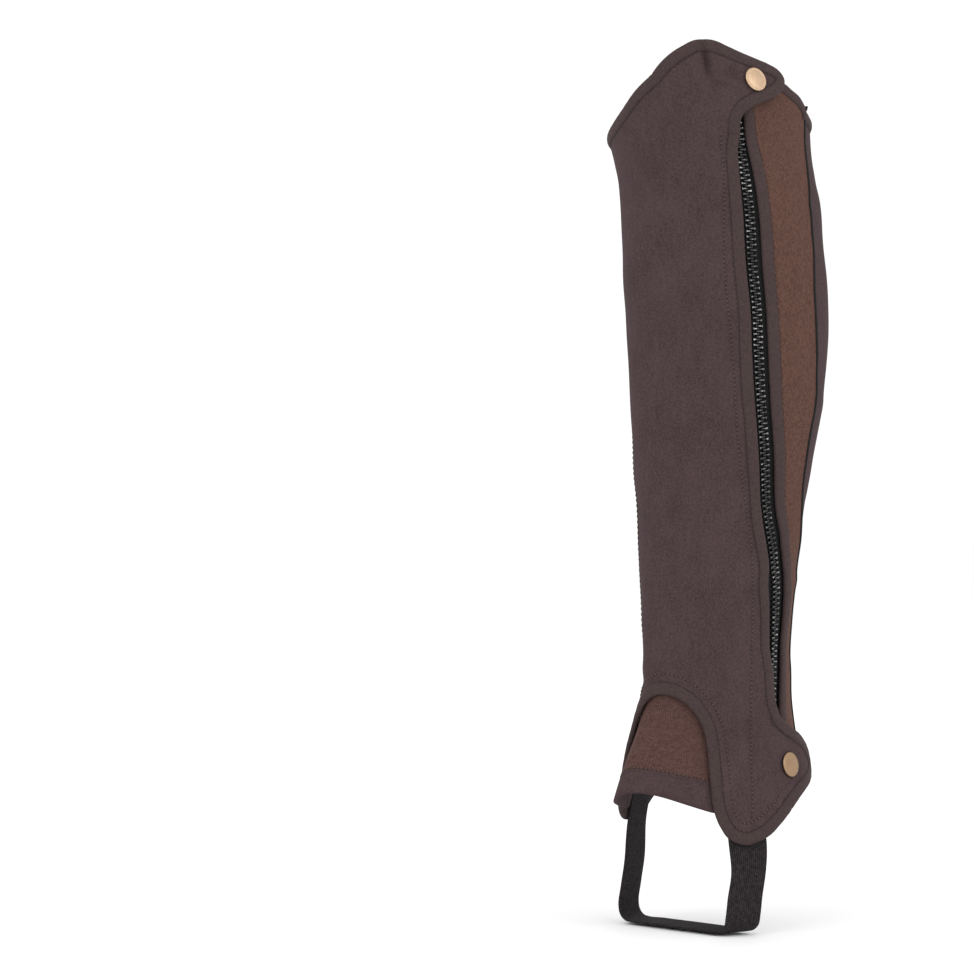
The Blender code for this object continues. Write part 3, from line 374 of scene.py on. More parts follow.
def nap_group():
    """Brushed fibres: fine speckle for the height, with slow clouds and rubbed streaks for the tone."""
    group, given, out = new_group("brushed_nap", ("Fibre", "Cloud"))
    place = given["Place"]
    fibre = added(group, "TexNoise", {"Vector": place, "Scale": given["Fibre"], **FIBRE_NOISE})[0]
    cloud = added(group, "TexNoise", {"Vector": place, "Scale": given["Cloud"], **CLOUD_NOISE})[0]
    drawn = added(group, "Mapping", {"Vector": place, "Scale": STREAK_DRAWN})[0]
    streak = added(group, "TexNoise", {"Vector": drawn, **STREAK_NOISE})[0]
    tone = maths(group, "ADD", fibre, NAP_TONE_FLOOR)
    tone = maths(group, "MULTIPLY_ADD", cloud, CLOUD_IN_TONE, tone)
    tone = maths(group, "MULTIPLY_ADD", streak, STREAK_IN_TONE, tone)
    group.links.new(tone, out["Tone"])
    group.links.new(maths(group, "MULTIPLY_ADD", streak, STREAK_IN_HEIGHT, fibre), out["Height"])
    return group


def weave_group():
    """Yarns: ribs along one axis of the place and short floats across them, with a tone of its own for each yarn."""
    group, given, out = new_group("yarn_weave", ("Ribs", "Floats", "Melange"))
    parts = added(group, "SeparateXYZ", {"Vector": given["Place"]})
    across = maths(group, "MULTIPLY", parts[0], given["Ribs"])
    along = maths(group, "MULTIPLY", parts[1], given["Floats"])
    cell = maths(group, "FLOOR", across)
    odd = maths(group, "MULTIPLY_ADD", cell, HALF_YARN, along)
    rib, float_yarn = (maths(group, "PINGPONG", value, HALF_YARN) for value in (across, odd))
    yarn = added(group, "CombineXYZ", {0: cell, 1: maths(group, "FLOOR", odd)})[0]
    own = added(group, "TexWhiteNoise", {"Vector": yarn})[0]
    relief = maths(group, "MULTIPLY", maths(group, "MULTIPLY", rib, float_yarn), RELIEF_GAIN)
    spread = maths(group, "MULTIPLY", own, given["Melange"])
    group.links.new(maths(group, "MULTIPLY_ADD", relief, RELIEF_IN_TONE, spread), out["Tone"])
    group.links.new(relief, out["Height"])
    return group


NAP = (nap_group(), "Object")
WEAVE = (weave_group(), "UV")


def patterned(tree, kind, values):
    """The Tone and Height of a pattern, read at its own coordinates, with values in the order of its inputs."""
    pattern, place = kind
    return added(tree, "Group", dict(enumerate((added(tree, "TexCoord")[place], *values))), node_tree=pattern)


def dyed(tree, share, dark, light):
    """A colour between a dark and a light one."""
    return added(tree, "Mix", {0: share, 6: (*dark, 1.0), 7: (*light, 1.0)}, data_type="RGBA")[2]


def bumped(tree, height, depth, strength):
    """Normals for a relief of that depth in metres."""
    return added(tree, "Bump", {"Distance": depth, "Height": height, "Strength": strength})["Normal"]


def cloth_finish(name, kind, values, dark, light, relief, roughness, sheen, gloss):
    """A cloth material: the pattern's tone blends two colours and its height drives a bump of that depth in metres."""
    finish, tree, shader = new_finish(name)
    used = patterned(tree, kind, values)
    fill(tree, shader, {
        "Base Color": dyed(tree, used["Tone"], dark, light),
        "Normal": bumped(tree, used["Height"], relief, CLOTH_BUMP),
        "Roughness": roughness,
        "Specular IOR Level": gloss,
        "Sheen Weight": sheen,
        "Sheen Roughness": CLOTH_SHEEN_ROUGHNESS,
        "Sheen Tint": (*light, 1.0),
    })
    return finish


# A cloth is its name, pattern, the pattern's values, dark and light colours, relief, roughness, sheen and gloss.
CLOTHS = (
    ("suede", NAP, (800.0, 30.0), (0.022, 0.0125, 0.013), (0.096, 0.063, 0.067), 0.0003, 0.95, 0.12, 0.1),
    ("stretch", WEAVE, (140.0, 95.0, 0.42), (0.058, 0.028, 0.021), (0.168, 0.091, 0.071), 0.0002, 0.9, 0.12, 0.1),
    ("elastic", WEAVE, (105.0, 150.0, 0.34), (0.053, 0.026, 0.022), (0.152, 0.084, 0.073), 0.0002, 0.9, 0.12, 0.1),
    ("binding", WEAVE, (110.0, 110.0, 0.3), (0.04, 0.025, 0.025), (0.088, 0.06, 0.059), 0.00015, 0.85, 0.15, 0.15),
    ("zip_tape", WEAVE, (150.0, 150.0, 0.4), (0.006, 0.006, 0.007), (0.022, 0.021, 0.022), 0.0002, 0.75, 0.25, 0.2),
    ("webbing", WEAVE, (75.0, 80.0, 0.18), (0.0, 0.0, 0.0), (0.098, 0.081, 0.085), 0.0005, 0.85, 0.1, 0.15),
    ("thread", NAP, (2500.0, 60.0), (0.012, 0.008, 0.007), (0.05, 0.034, 0.031), 0.0001, 0.6, 0.1, 0.2),
    # This thread is lighter than the suede colour of the real thread: painted highlight.
    ("thread_painted_highlight", NAP, (2500.0, 60.0), (0.048, 0.032, 0.029), (0.135, 0.098, 0.09), 0.0001, 0.6, 0.1, 0.2),
)
suede, stretch, elastic, binding, tape, webbing, thread, thread_painted_highlight = (cloth_finish(*row) for row in CLOTHS)

HARD_GRAIN = 900.0
HARD_GRAIN_DEPTH = 0.00008
HARD_BUMP = 0.35
COAT_ROUGHNESS = 0.2


def hard_finish(name, dark, light, rough, metallic=0.0, coat=0.0, gloss=0.5, wear_and_glint_clouds=60.0, edge=(0.0, 1.0)):
    """Plastic or metal: slow clouds of tone and of gloss, and a fine grain; edge gives the tones that turn light, on
    the teeth painted glints.
    """
    finish, tree, shader = new_finish(name)
    used = patterned(tree, NAP, (HARD_GRAIN, wear_and_glint_clouds))
    share = added(tree, "MapRange", {"Value": used["Tone"], "From Min": edge[0], "From Max": edge[1]})[0]
    fill(tree, shader, {
        "Base Color": dyed(tree, share, dark, light),
        "Normal": bumped(tree, used["Height"], HARD_GRAIN_DEPTH, HARD_BUMP),
        "Roughness": added(tree, "MapRange", {"Value": used["Tone"], "To Min": rough[0], "To Max": rough[1]})[0],
        "Coat Weight": coat,
        "Coat Roughness": COAT_ROUGHNESS,
        "Metallic": metallic,
        "Specular IOR Level": gloss,
    })
    return finish


teeth_plastic = hard_finish("zip_teeth", (0.003, 0.003, 0.0035), (0.012, 0.012, 0.013), (0.1, 0.24), gloss=0.35)
# Pale clouds on the teeth's shoulder walls: painted glints, not a real polish.
painted_glint_shoulder = hard_finish(
    "painted_glint_shoulder", (0.01, 0.01, 0.011), (0.66, 0.65, 0.61), (0.15, 0.3), wear_and_glint_clouds=45.0, edge=(0.5, 0.74),
)
slider_paint = hard_finish("slider_paint", (0.01, 0.01, 0.01), (0.03, 0.03, 0.03), (0.25, 0.45), coat=0.4)
brass = hard_finish("brass", (0.43, 0.29, 0.185), (0.69, 0.5, 0.34), (0.28, 0.46), metallic=1.0, wear_and_glint_clouds=120.0)
# A darker copy of the same brass for the lower cap: painted shade.
brass_painted_shade = hard_finish(
    "brass_painted_shade", (0.27, 0.165, 0.095), (0.44, 0.295, 0.18), (0.3, 0.48), metallic=1.0, wear_and_glint_clouds=120.0,
)
label_sheet = hard_finish("label_sheet", (0.01, 0.01, 0.011), (0.04, 0.038, 0.04), (0.3, 0.5), coat=0.2)


# Panels: two suede panels, the stretch panel behind the zip, the grip patch, the instep's gusset and hem, the label.
# Each is a copy of its CAD solid, its rims kept, with its faces made finer and eased like all the cloth.
RIM_ANGLE = 0.9
RIM_CREASE = 0.92
WELD = 2e-6
PAIR_ANGLE = 0.7
PAIR_SHAPE = 1.2
UV_UNITS = 10.0
GIRTH_RADIUS = 0.055
PANEL_SHARP = 55


def new_piece(name, mesh, finish, sharp=None):
    """An object with its finish, smooth but for edges past the sharp angle, which rides on the root body."""
    mesh.materials.clear()
    mesh.materials.append(finish)
    mesh.shade_smooth()
    if sharp:
        mesh.set_sharp_from_angle(angle=np.radians(sharp))
    piece = stand(bpy.data.objects.new(name, mesh))
    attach(piece, "root")
    return piece


def points_of(mesh):
    """The mesh's points, one to a row."""
    points = np.empty(len(mesh.vertices) * 3, np.float32)
    mesh.vertices.foreach_get("co", points)
    return points.reshape(-1, 3).astype(float)


def set_cloth_map(mesh, corners):
    """A UV map in tenths of a metre, from corner places in metres."""
    mesh.uv_layers.new(name="cloth").data.foreach_set("uv", (corners * UV_UNITS).astype(np.float32).ravel())


def refined(name, node, finish, levels):
    """A copy of a CAD solid: doubles merged, triangles paired, faces subdivided, points eased, mapped by girth."""
    shape = bmesh.new()
    shape.from_mesh(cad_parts[node].data)
    bmesh.ops.remove_doubles(shape, verts=shape.verts, dist=WELD)
    bmesh.ops.join_triangles(
        shape, faces=shape.faces, angle_face_threshold=PAIR_ANGLE, angle_shape_threshold=PAIR_SHAPE,
    )
    crease = shape.edges.layers.float.new("crease_edge")
    for edge in shape.edges:
        if edge.is_manifold and edge.calc_face_angle() > RIM_ANGLE:
            edge[crease] = RIM_CREASE
    coarse = bpy.data.meshes.new(name + "_coarse")
    shape.to_mesh(coarse)
    shape.free()
    holder = stand(bpy.data.objects.new(name + "_coarse", coarse))
    finer = holder.modifiers.new("finer", "SUBSURF")
    finer.levels = finer.render_levels = levels
    bpy.context.view_layer.update()
    mesh = bpy.data.meshes.new_from_object(holder.evaluated_get(bpy.context.evaluated_depsgraph_get()))
    bpy.data.objects.remove(holder)
    bpy.data.meshes.remove(coarse)
    mesh.name = name
    mesh.vertices.foreach_set("co", eased(points_of(mesh)).astype(np.float32).ravel())
    mesh.update()
    points = points_of(mesh)
    corners = np.empty(len(mesh.loops), np.int32)
    mesh.loops.foreach_get("vertex_index", corners)
    girth = np.arctan2(points[:, 0], -points[:, 1]) * GIRTH_RADIUS
    set_cloth_map(mesh, np.stack([girth, points[:, 2]], axis=-1)[corners])
    piece = new_piece(name, mesh, finish, PANEL_SHARP)
    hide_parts(node)
    return piece


outer_cloth = refined("outer_cloth", "outer_panel", suede, levels=3)
inner_cloth = refined("inner_cloth", "inner_panel", suede, levels=2)
patch_cloth = refined("patch_cloth", "grip_patch", suede, levels=2)
stretch_cloth = refined("stretch_cloth", "stretch_panel", stretch, levels=2)
gusset_cloth = refined("gusset_cloth", "instep_gusset", elastic, levels=2)
band_cloth = refined("band_cloth", "instep_band", suede, levels=2)
refined("label_cloth", "label", label_sheet, levels=2)

# Bindings: a bias strip folded round each raw edge and sewn down, so each edge is a soft round cord of cloth.
# Eight lengths, end to end: five round the suede and three round the stretch panel.
ZIP_COLUMNS = ("height", "azimuth", "opening")
ZIP = (
    (-290, 75, 8), (-275, 80.5, 8), (-260, 88.5, 9), (-245, 95, 10.5), (-230, 97.5, 14), (-215, 98.4, 15.3),
    (-200, 97.6, 14.4), (-175, 93, 13.3), (-155, 86, 12.7), (-130, 77.5, 12.1), (-105, 72, 11.3), (-90, 68.8, 10.9),
    (-72, 65.3, 10.5), (-56, 62.8, 10.5), (-35, 61.4, 10.5), (-5, 61, 10.5), (22, 59.4, 10.7), (45, 58.8, 10.7),
    (62, 58.8, 10.1), (78, 59.6, 8.8), (88, 61, 7.4), (98, 62.2, 5.4), (110, 61, 8.6), (121, 58.3, 8.2),
    (135, 54.5, 8.2),
)
SEAM_COLUMNS = ("height", "azimuth")
BACK_SEAM = (
    (-300, 138), (-230, 137), (-208, 135.5), (-182, 133), (-155, 127), (-130, 116), (-104, 107), (-80, 104),
    (-60, 105), (-40, 104), (-20, 101.5), (0, 101.5), (25, 104), (45, 104.5), (66, 108.5), (95, 115.5), (108, 119),
    (130, 122),
)
TOP_EDGE = (
    (-246, 119.6), (-240, 116.2), (-232, 113), (-218, 111.5), (-200, 112.5), (-180, 114), (-150, 112.5),
    (-120, 109.5), (-90, 106), (-68, 103.5), (-50, 102.5), (-36, 106.5), (-22, 114), (-8.5, 125.6), (4.5, 134.7),
    (19, 142.8), (32, 148.4), (42.5, 152), (50, 151.2), (58, 147.8), (67, 144), (77, 140.4), (85, 137.7), (91, 134.4),
    (93.5, 129), (91, 124), (84.5, 119), (76, 115.5), (68.5, 112), (63, 108.5), (60, 104),
)
FLAP_EDGE = (
    (89.2, -222), (88, -235), (89.2, -243.5), (93, -250.5), (102, -256), (113, -261), (123, -267.3), (130.5, -274),
    (133.5, -280), (128, -286), (118, -290), (107.5, -293.5), (97, -299), (90.5, -304), (84.5, -311.5), (78, -319),
    (72, -322), (67, -318.5), (63.3, -311), (60.6, -301),
)
ARCH_EDGE = (
    (58.8, -288), (57, -276), (54.7, -265), (50.2, -252.5), (41, -241.5), (28, -235), (15, -233.5), (4, -235.5),
    (-6, -240), (-16, -246), (-28, -255), (-37, -268), (-43, -282), (-48, -295),
)
HEM_EDGE = (
    (-53.5, -305.5), (-60, -311), (-66.5, -311.3), (-73, -307), (-78, -299), (-82, -290), (-88, -281.5), (-98, -276),
    (-112, -273.3), (-145, -273), (-180, -272.5), (-205, -274), (-230, -277.5),
)
STRETCH_HEM_EDGE = (
    (144, -275.5), (127, -281), (115, -286.5), (104, -291), (95, -293.5), (88, -292.3), (84.5, -286.5),
)
STRETCH_TOP_EDGE = (
    (61.8, 129.5), (64.5, 134.8), (69.5, 137.2), (76, 137), (84, 135.3), (93, 133), (101, 129.8), (107, 126.5),
    (112.5, 124.2), (117, 121), (121, 117.2), (125, 113.8),
)
TAPE_TOP = 117.5
ZIP_OVERRUN = 12.0
BINDING_WIDTH = 6.3
BINDING_HALF = 3.7
BINDING_INWARD = 0.35
SEAM_LAP = 2.2
BINDING_HALF_THICKNESS = 1.78
BINDING_OUT = -0.6
BINDING_SIDES = 20
BINDING_POWER = 0.8
BINDING_STEP = 1.5
BINDING_FULLNESS = ((0.035, 6.4), (0.03, 41.0))
FRONT_EDGE_ENDS = (96.0, -206.0)
BACK_EDGE_ENDS = (122.0, -276.0)
EDGE_THINNING = 12
ZIP_TABLE = columns(ZIP_COLUMNS, ZIP)
BACK_SEAM_TABLE = columns(SEAM_COLUMNS, BACK_SEAM)


def zip_side(side):
    """The bound edge beside the zip, from top to bottom: side is -1 in front of it and 1 behind it."""
    heights = np.arange(TAPE_TOP + ZIP_OVERRUN, ZIP[0][0], -1.0)
    middle = np.stack([column_at(ZIP_TABLE, "azimuth", heights), heights], axis=-1)
    half = column_at(ZIP_TABLE, "opening", heights) / 2
    return beside(middle, close_cloth, (side * half)[:, None])


def between(path, top, bottom):
    """The part of a path from one height down to another."""
    return path[(path[:, 1] <= top) & (path[:, 1] >= bottom)]


def cut_at_seam(path, turn, side):
    """The path on one side of the back seam, 1 for greater azimuths, and a lap past it; turn moves the seam."""
    past = (path[:, 0] - turn - column_at(BACK_SEAM_TABLE, "azimuth", path[:, 1])) * side + SEAM_LAP
    kept = past > 0.0
    k = np.flatnonzero(kept)
    near, off = (k[0], k[0] - 1) if k[0] > 0 else (k[-1], k[-1] + 1)
    share = past[near] / (past[near] - past[off])
    crossing = path[near] + share * (path[off] - path[near])
    return np.vstack([crossing, path[kept]] if k[0] > 0 else [path[kept], crossing])


def edge_paths(tables, names, surface, turn, side):
    """Stretches of one bound edge, end to end, the first and the last cut at the back seam."""
    rows = np.vstack(tables)
    ends = np.cumsum([0] + [len(table) for table in tables])
    ends[-1] -= 1
    paths = {name: smooth_path(rows, first, last) for name, first, last in zip(names, ends, ends[1:])}
    for name in (names[0], names[-1]):
        paths[name] = cut_at_seam(paths[name], turn, side)
    return {name: evenly(path, surface, BINDING_STEP) for name, path in paths.items()}


def ring(sides, across=1.0, out=1.0, lead=0.0):
    """Places round a ring: cos and sin of the angle, each with its size raised to a power, squarer below 1."""
    angle = np.linspace(0.0, 2 * np.pi, sides, endpoint=False) + lead
    waves = ((np.cos(angle), across), (np.sin(angle), out))
    return (np.sign(wave) * np.abs(wave) ** power for wave, power in waves)


def rings_about(middle, side, normal, across, out):
    """Rings of points: each middle, plus places across to its side and out along its normal."""
    return middle[..., None, :] + side[..., None, :] * across[..., None] + normal[..., None, :] * out[..., None]


def walls_between(low, high, sides):
    """Quads from one ring of points to another; low and high are the numbers of the rings' first points."""
    k = np.arange(sides)
    following = (k + 1) % sides
    return np.stack([low + k, low + following, high + following, high + k], axis=-1).reshape(-1, 4)


def closed_mesh(name, points, faces, corners=None, weld=None):
    """A closed mesh whose faces all look out, with a cloth map if corner places are given."""
    mesh = bpy.data.meshes.new(name)
    mesh.from_pydata(points.reshape(-1, 3).tolist(), [], faces)
    if corners is not None:
        set_cloth_map(mesh, corners)
    shape = bmesh.new()
    shape.from_mesh(mesh)
    if weld:
        bmesh.ops.remove_doubles(shape, verts=shape.verts, dist=weld)
    bmesh.ops.recalc_face_normals(shape, faces=shape.faces)
    shape.to_mesh(mesh)
    shape.free()
    return mesh


def tube(name, rings, finish):
    """A closed tube through rings of points in metres, with a point at each end and a cloth map round and along."""
    count, sides = rings.shape[:2]
    ends = eased(rings[[0, -1]].mean(axis=1))
    rings = eased(rings)
    start = np.arange(count - 1)[:, None] * sides
    low, high, top = count * sides, count * sides + 1, (count - 1) * sides
    turns = [(k, (k + 1) % sides) for k in range(sides)]
    fans = [(low, b, a) for a, b in turns] + [(high, top + a, top + b) for a, b in turns]
    along = run_along(rings.mean(axis=1))
    girth = run_along(np.vstack([rings[0], rings[0, :1]]))
    corner_round = np.stack([girth[:-1], girth[1:], girth[1:], girth[:-1]], axis=-1)
    corner_along = np.stack([along[:-1], along[:-1], along[1:], along[1:]], axis=-1)
    corners = np.stack(np.broadcast_arrays(corner_round[None], corner_along[:, None]), axis=-1).reshape(-1, 2)
    mesh = closed_mesh(
        name, np.vstack([rings.reshape(-1, 3), ends]), walls_between(start, start + sides, sides).tolist() + fans,
        np.vstack([corners, np.zeros((len(fans) * 3, 2))]),
    )
    return new_piece(name, mesh, finish)


def bind(paths, surface):
    """A folded strip along each path: an oval, fuller between the stitches that draw it in."""
    across, out = ring(BINDING_SIDES, BINDING_POWER, BINDING_POWER)
    whole = np.vstack([path[:-1] for path in paths.values()] + [list(paths.values())[-1][-1:]])
    joints = np.cumsum([0] + [len(path) - 1 for path in paths.values()])
    inner = beside(whole, surface, -BINDING_WIDTH / 2 - BINDING_INWARD)
    _, side, normal = directions(inner, surface)
    centre = surface(inner) + normal * BINDING_OUT
    along = run_along(centre)[:, None]
    fuller = 1.0
    for part, step in BINDING_FULLNESS:
        fuller = fuller + part * np.sin(2 * np.pi * along / step)
    rings = rings_about(centre, side, normal, across * BINDING_HALF, out * BINDING_HALF_THICKNESS * fuller)
    for name, start, end in zip(paths, joints, joints[1:]):
        piece = tube(name.replace("_binding", "_bound"), rings[start : end + 1] * MM, binding)
        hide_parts(name)


front_edge = between(zip_side(-1), *FRONT_EDGE_ENDS)[::EDGE_THINNING]
back_edge = between(zip_side(1), *BACK_EDGE_ENDS)[::EDGE_THINNING]
suede_edges = edge_paths(
    [TOP_EDGE, front_edge, FLAP_EDGE, ARCH_EDGE, HEM_EDGE],
    ("top_binding", "zip_front_binding", "flap_binding", "arch_binding", "hem_binding"),
    surface=lifted_cloth, turn=-360.0, side=1,
)
stretch_edges = edge_paths(
    [STRETCH_HEM_EDGE, back_edge[::-1], STRETCH_TOP_EDGE],
    ("stretch_hem_binding", "zip_back_binding", "stretch_top_binding"),
    surface=close_cloth, turn=0.0, side=-1,
)
bind(suede_edges, lifted_cloth)
bind(stretch_edges, close_cloth)

# Back seam: the stretch panel meets the inner panel over a thin dark cord, whose two tips show past the edges.
# A finer cord of tape fills the ditch over it, and a rolled fold of suede lies above the hem band.
SEAM_CORD_RADIUS = 1.15
SEAM_CORD_OUT = -3.4
SEAM_CORD_ENDS = (117.7, -277.8)
CORD_STEP = 2.0
CORD_SIDES = 10
CORD_LEAN = 9.0
SEAM_TIP_OUT = 4.5
BAND_TOP_EDGE = (
    (-54, -287.1), (-44, -286), (-25, -282), (0, -276.5), (20, -276.5), (38, -279.5), (50, -282.5), (61.8, -286.2),
)
SEAM_DITCH_ENDS = (112.0, -272.0)
SEAM_DITCH_OUT = -0.1
SEAM_DITCH_RADIUS = 0.9
BAND_FOLD_OUT = -3.35
BAND_FOLD_RADIUS = 0.8


def seam_path(table, top, bottom):
    """A seam from top to bottom."""
    heights = np.linspace(top, bottom, int(abs(top - bottom)) + 2)
    return np.stack([column_at(table, "azimuth", heights), heights], axis=-1)


def cord(name, path, out, radius, finish, tip_out=0.0):
    """A round cord along a path, its centre at a distance out from the cloth; its first end leans out further."""
    path = evenly(path, close_cloth, CORD_STEP)
    _, side, normal = directions(path, close_cloth)
    lean = tip_out * ramp(path[0, 1] - CORD_LEAN, path[0, 1], path[:, 1])
    centre = close_cloth(path) + normal * (out + lean)[:, None]
    rings = rings_about(centre, side, normal, *(radius * wave for wave in ring(CORD_SIDES)))
    return tube(name, rings * MM, finish)


cord_path, ditch_path = (seam_path(BACK_SEAM_TABLE, *ends) for ends in (SEAM_CORD_ENDS, SEAM_DITCH_ENDS))
seam_cord = cord("seam_cord", cord_path, SEAM_CORD_OUT, SEAM_CORD_RADIUS, tape, SEAM_TIP_OUT)
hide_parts("back_seam_cord")
cord("seam_ditch", ditch_path, SEAM_DITCH_OUT, SEAM_DITCH_RADIUS, tape)
band_top = smooth_path(BAND_TOP_EDGE)
cord("band_fold", band_top, BAND_FOLD_OUT, BAND_FOLD_RADIUS, suede)

# Zip: two woven tapes and two rows of glossy moulded teeth that mesh on the middle line, with pale patches on some
# shoulder walls that are painted glints.
# The slider, its pull and the box at the foot keep their CAD shapes and get a painted finish.
TOOTH_PITCH = 3.2
TOOTH_ACROSS = np.array([-1.1, -0.9, -0.2, 0.5, 1.3, 2.1, 2.9, 3.35])
TOOTH_HALF_LONG = np.array([0.3, 0.72, 0.88, 0.55, 0.52, 0.92, 1.02, 0.5])
TOOTH_HALF_HIGH = np.array([0.35, 0.65, 0.78, 0.62, 0.6, 0.92, 0.95, 0.45])
TOOTH_SIDES = 8
TOOTH_POWER = 0.7
# The tooth walls that take the painted glints.
TOOTH_GLINT_WALLS = (25, 33, 41)
TOOTH_OUT = -1.75
TEETH_FORWARD = 0.8
TEETH_ENDS = (108.0, -256.0)
SMALL_SHARP = 60

front_tape = refined("front_tape", "zip_tape_front", tape, levels=1)
back_tape = refined("back_tape", "zip_tape_back", tape, levels=1)


def many(name, points, finish, second=None, bright=()):
    """One object of many small tubes: points are by tube, ring and side; the bright walls take a second finish, on the
    teeth the painted glints.
    """
    tubes, rings, sides = points.shape[:3]
    start = np.arange(rings - 1)[:, None] * sides
    first = np.arange(tubes)[:, None, None] * rings * sides
    caps = np.stack([np.arange(sides)[::-1], (rings - 1) * sides + np.arange(sides)])
    faces = (walls_between(start, start + sides, sides)[None] + first).reshape(-1, 4).tolist()
    faces += (caps[None] + first).reshape(-1, sides).tolist()
    mesh = closed_mesh(name, points, faces)
    new_piece(name, mesh, finish, SMALL_SHARP)
    if second:
        mesh.materials.append(second)
        marks = np.zeros((tubes, (rings - 1) * sides), np.int32)
        marks[:, bright] = 1
        marks = np.concatenate([marks.ravel(), np.zeros(2 * tubes, np.int32)])
        mesh.polygons.foreach_set("material_index", marks)


def teeth(name, side):
    """Teeth of one tape: each is a rounded bar across the tape whose head passes the middle line, with painted glints
    on its bright walls.
    """
    shift = TOOTH_PITCH / 2 * (side > 0)
    path = evenly(seam_path(ZIP_TABLE, *TEETH_ENDS), close_cloth, TOOTH_PITCH, shift)
    tangent, across, normal = directions(path, close_cloth)
    centre = close_cloth(path) + normal * TOOTH_OUT - across * TEETH_FORWARD
    along, out = ring(TOOTH_SIDES, TOOTH_POWER, TOOTH_POWER, lead=np.pi / TOOTH_SIDES)
    middle = centre[:, None] + across[:, None] * (side * TOOTH_ACROSS)[:, None]
    along, out = TOOTH_HALF_LONG[:, None] * along, TOOTH_HALF_HIGH[:, None] * out
    points = rings_about(middle, tangent[:, None], normal[:, None], along, out)
    many(name, eased(points * MM), teeth_plastic, painted_glint_shoulder, TOOTH_GLINT_WALLS)


teeth("zip_teeth_front", -1)
teeth("zip_teeth_back", 1)
for node in ("zip_slider", "zip_pull", "zip_box"):
    metal_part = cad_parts[node]
    metal_part.data.materials.clear()
    metal_part.data.materials.append(slider_paint)

# Snaps: a domed brass cap with a rolled rim on each tab, over a socket, and a stud and ring on the cloth below.
# Each is turned from its profile about the cloth's normal; the lower cap takes a darker copy of the brass, which is
# painted shade.
TOP_SNAP = (72.3, 127.3)
LOWER_SNAP = (94.5, -277.8)
CAP = (
    (0.0, 0.3), (6.5, 0.3), (7.1, 0.45), (7.4, 0.85), (7.35, 1.3), (7.05, 1.62), (6.7, 1.74), (6.3, 1.70), (5.9, 1.66),
    (5.3, 1.76), (4.0, 1.92), (2.4, 2.03), (1.0, 2.08), (0.0, 2.1),
)
SOCKET = ((2.5, -4.3), (4.7, -4.3), (5.0, -4.1), (5.0, -2.7), (4.5, -2.5), (2.5, -2.5))
STUD = (
    (0.0, 0.3), (3.4, 0.3), (3.4, 1.1), (3.2, 1.2), (2.2, 1.35), (2.15, 1.8), (2.3, 2.4), (2.15, 2.8), (1.7, 3.0),
    (0.0, 3.0),
)
RING = ((2.6, -3.1), (3.0, -3.45), (4.0, -3.62), (4.9, -3.5), (5.5, -3.0), (5.5, -2.6), (2.6, -2.6))
TURNED_SIDES = 56
TURNED_SHARP = 50
TURNED_WELD = 1e-6


def turned(name, node, place, surface, profile, finish=brass):
    """A profile of radius and distance out, turned about the cloth's normal."""
    path = np.array([place, np.add(place, (0.0, HALF_STEP))])
    tangent, side, normal = (axis[0] for axis in directions(path, surface))
    cos, sin = (wave[:, None] for wave in ring(TURNED_SIDES))
    spokes = cos * side + sin * tangent
    rows = np.array(profile)
    rings = surface(path)[0] + spokes * rows[:, :1, None] + normal * rows[:, 1:, None]
    steps = np.arange(len(rows) if profile[0][0] > 0 else len(rows) - 1)[:, None]
    after = (steps + 1) % len(rows)
    faces = walls_between(steps * TURNED_SIDES, after * TURNED_SIDES, TURNED_SIDES).tolist()
    piece = new_piece(name, closed_mesh(name, rings * MM, faces, weld=TURNED_WELD), finish, TURNED_SHARP)
    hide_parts(node)


for snap, place, cap_finish in (("top_snap", TOP_SNAP, brass), ("lower_snap", LOWER_SNAP, brass_painted_shade)):
    turned(snap + "_dome", snap + "_cap", place, lifted_cloth, CAP, cap_finish)
    turned(snap + "_female", snap + "_socket", place, lifted_cloth, SOCKET)
    turned(snap + "_male", snap + "_stud", place, close_cloth, STUD)
    turned(snap + "_eyelet", snap + "_ring", place, close_cloth, RING)

# Strap: elastic webbing, finely ribbed across, sewn inside both tongues and flat under the foot.
# A flat oval profile is carried along the middle line that the CAD strap follows.
STRAP_OUTER = ((-304.5, 31.5), (-313, 31), (-321, 31))
STRAP_INNER = ((-292, 42), (-300, 42), (-309, 42))
STRAP_LOW = ((-338, 35), (-352, 38), (-364, 40))
STRAP_SPAN_OUTER = 50.0
STRAP_SPAN_INNER = 44.0
STRAP_TOE_IN = 0.26
STRAP_CORNER = 9.0
STRAP_CORNER_TURNS = np.radians((22.5, 45.0, 67.5, 90.0))
STRAP_FLAT_POINTS = 4
STRAP_BOTTOM = -373.0
STRAP_WIDTH = 24.0
STRAP_THICKNESS = 1.6
STRAP_OUT = -2.6
RIB_PITCH = 1.25
RIB_DEPTH = 0.1
RIB_STEPS = 6
STRAP_SIDES = 28
STRAP_ACROSS_POWER = 0.5
STRAP_OUT_POWER = 0.28


def strap_on_leg(rows, side, across, surface):
    """Points of one edge of the strap under a tongue; across is from the middle line, forward positive."""
    rows = np.array(rows, float)
    heights, forward = rows[:, 0], rows[:, 1] + across
    azimuth = side * np.degrees(np.arccos(forward / column_at(LEG_TABLE, "front", heights)))
    places = np.stack([azimuth, heights], axis=-1)
    return surface(places) + outward(surface, places) * STRAP_OUT


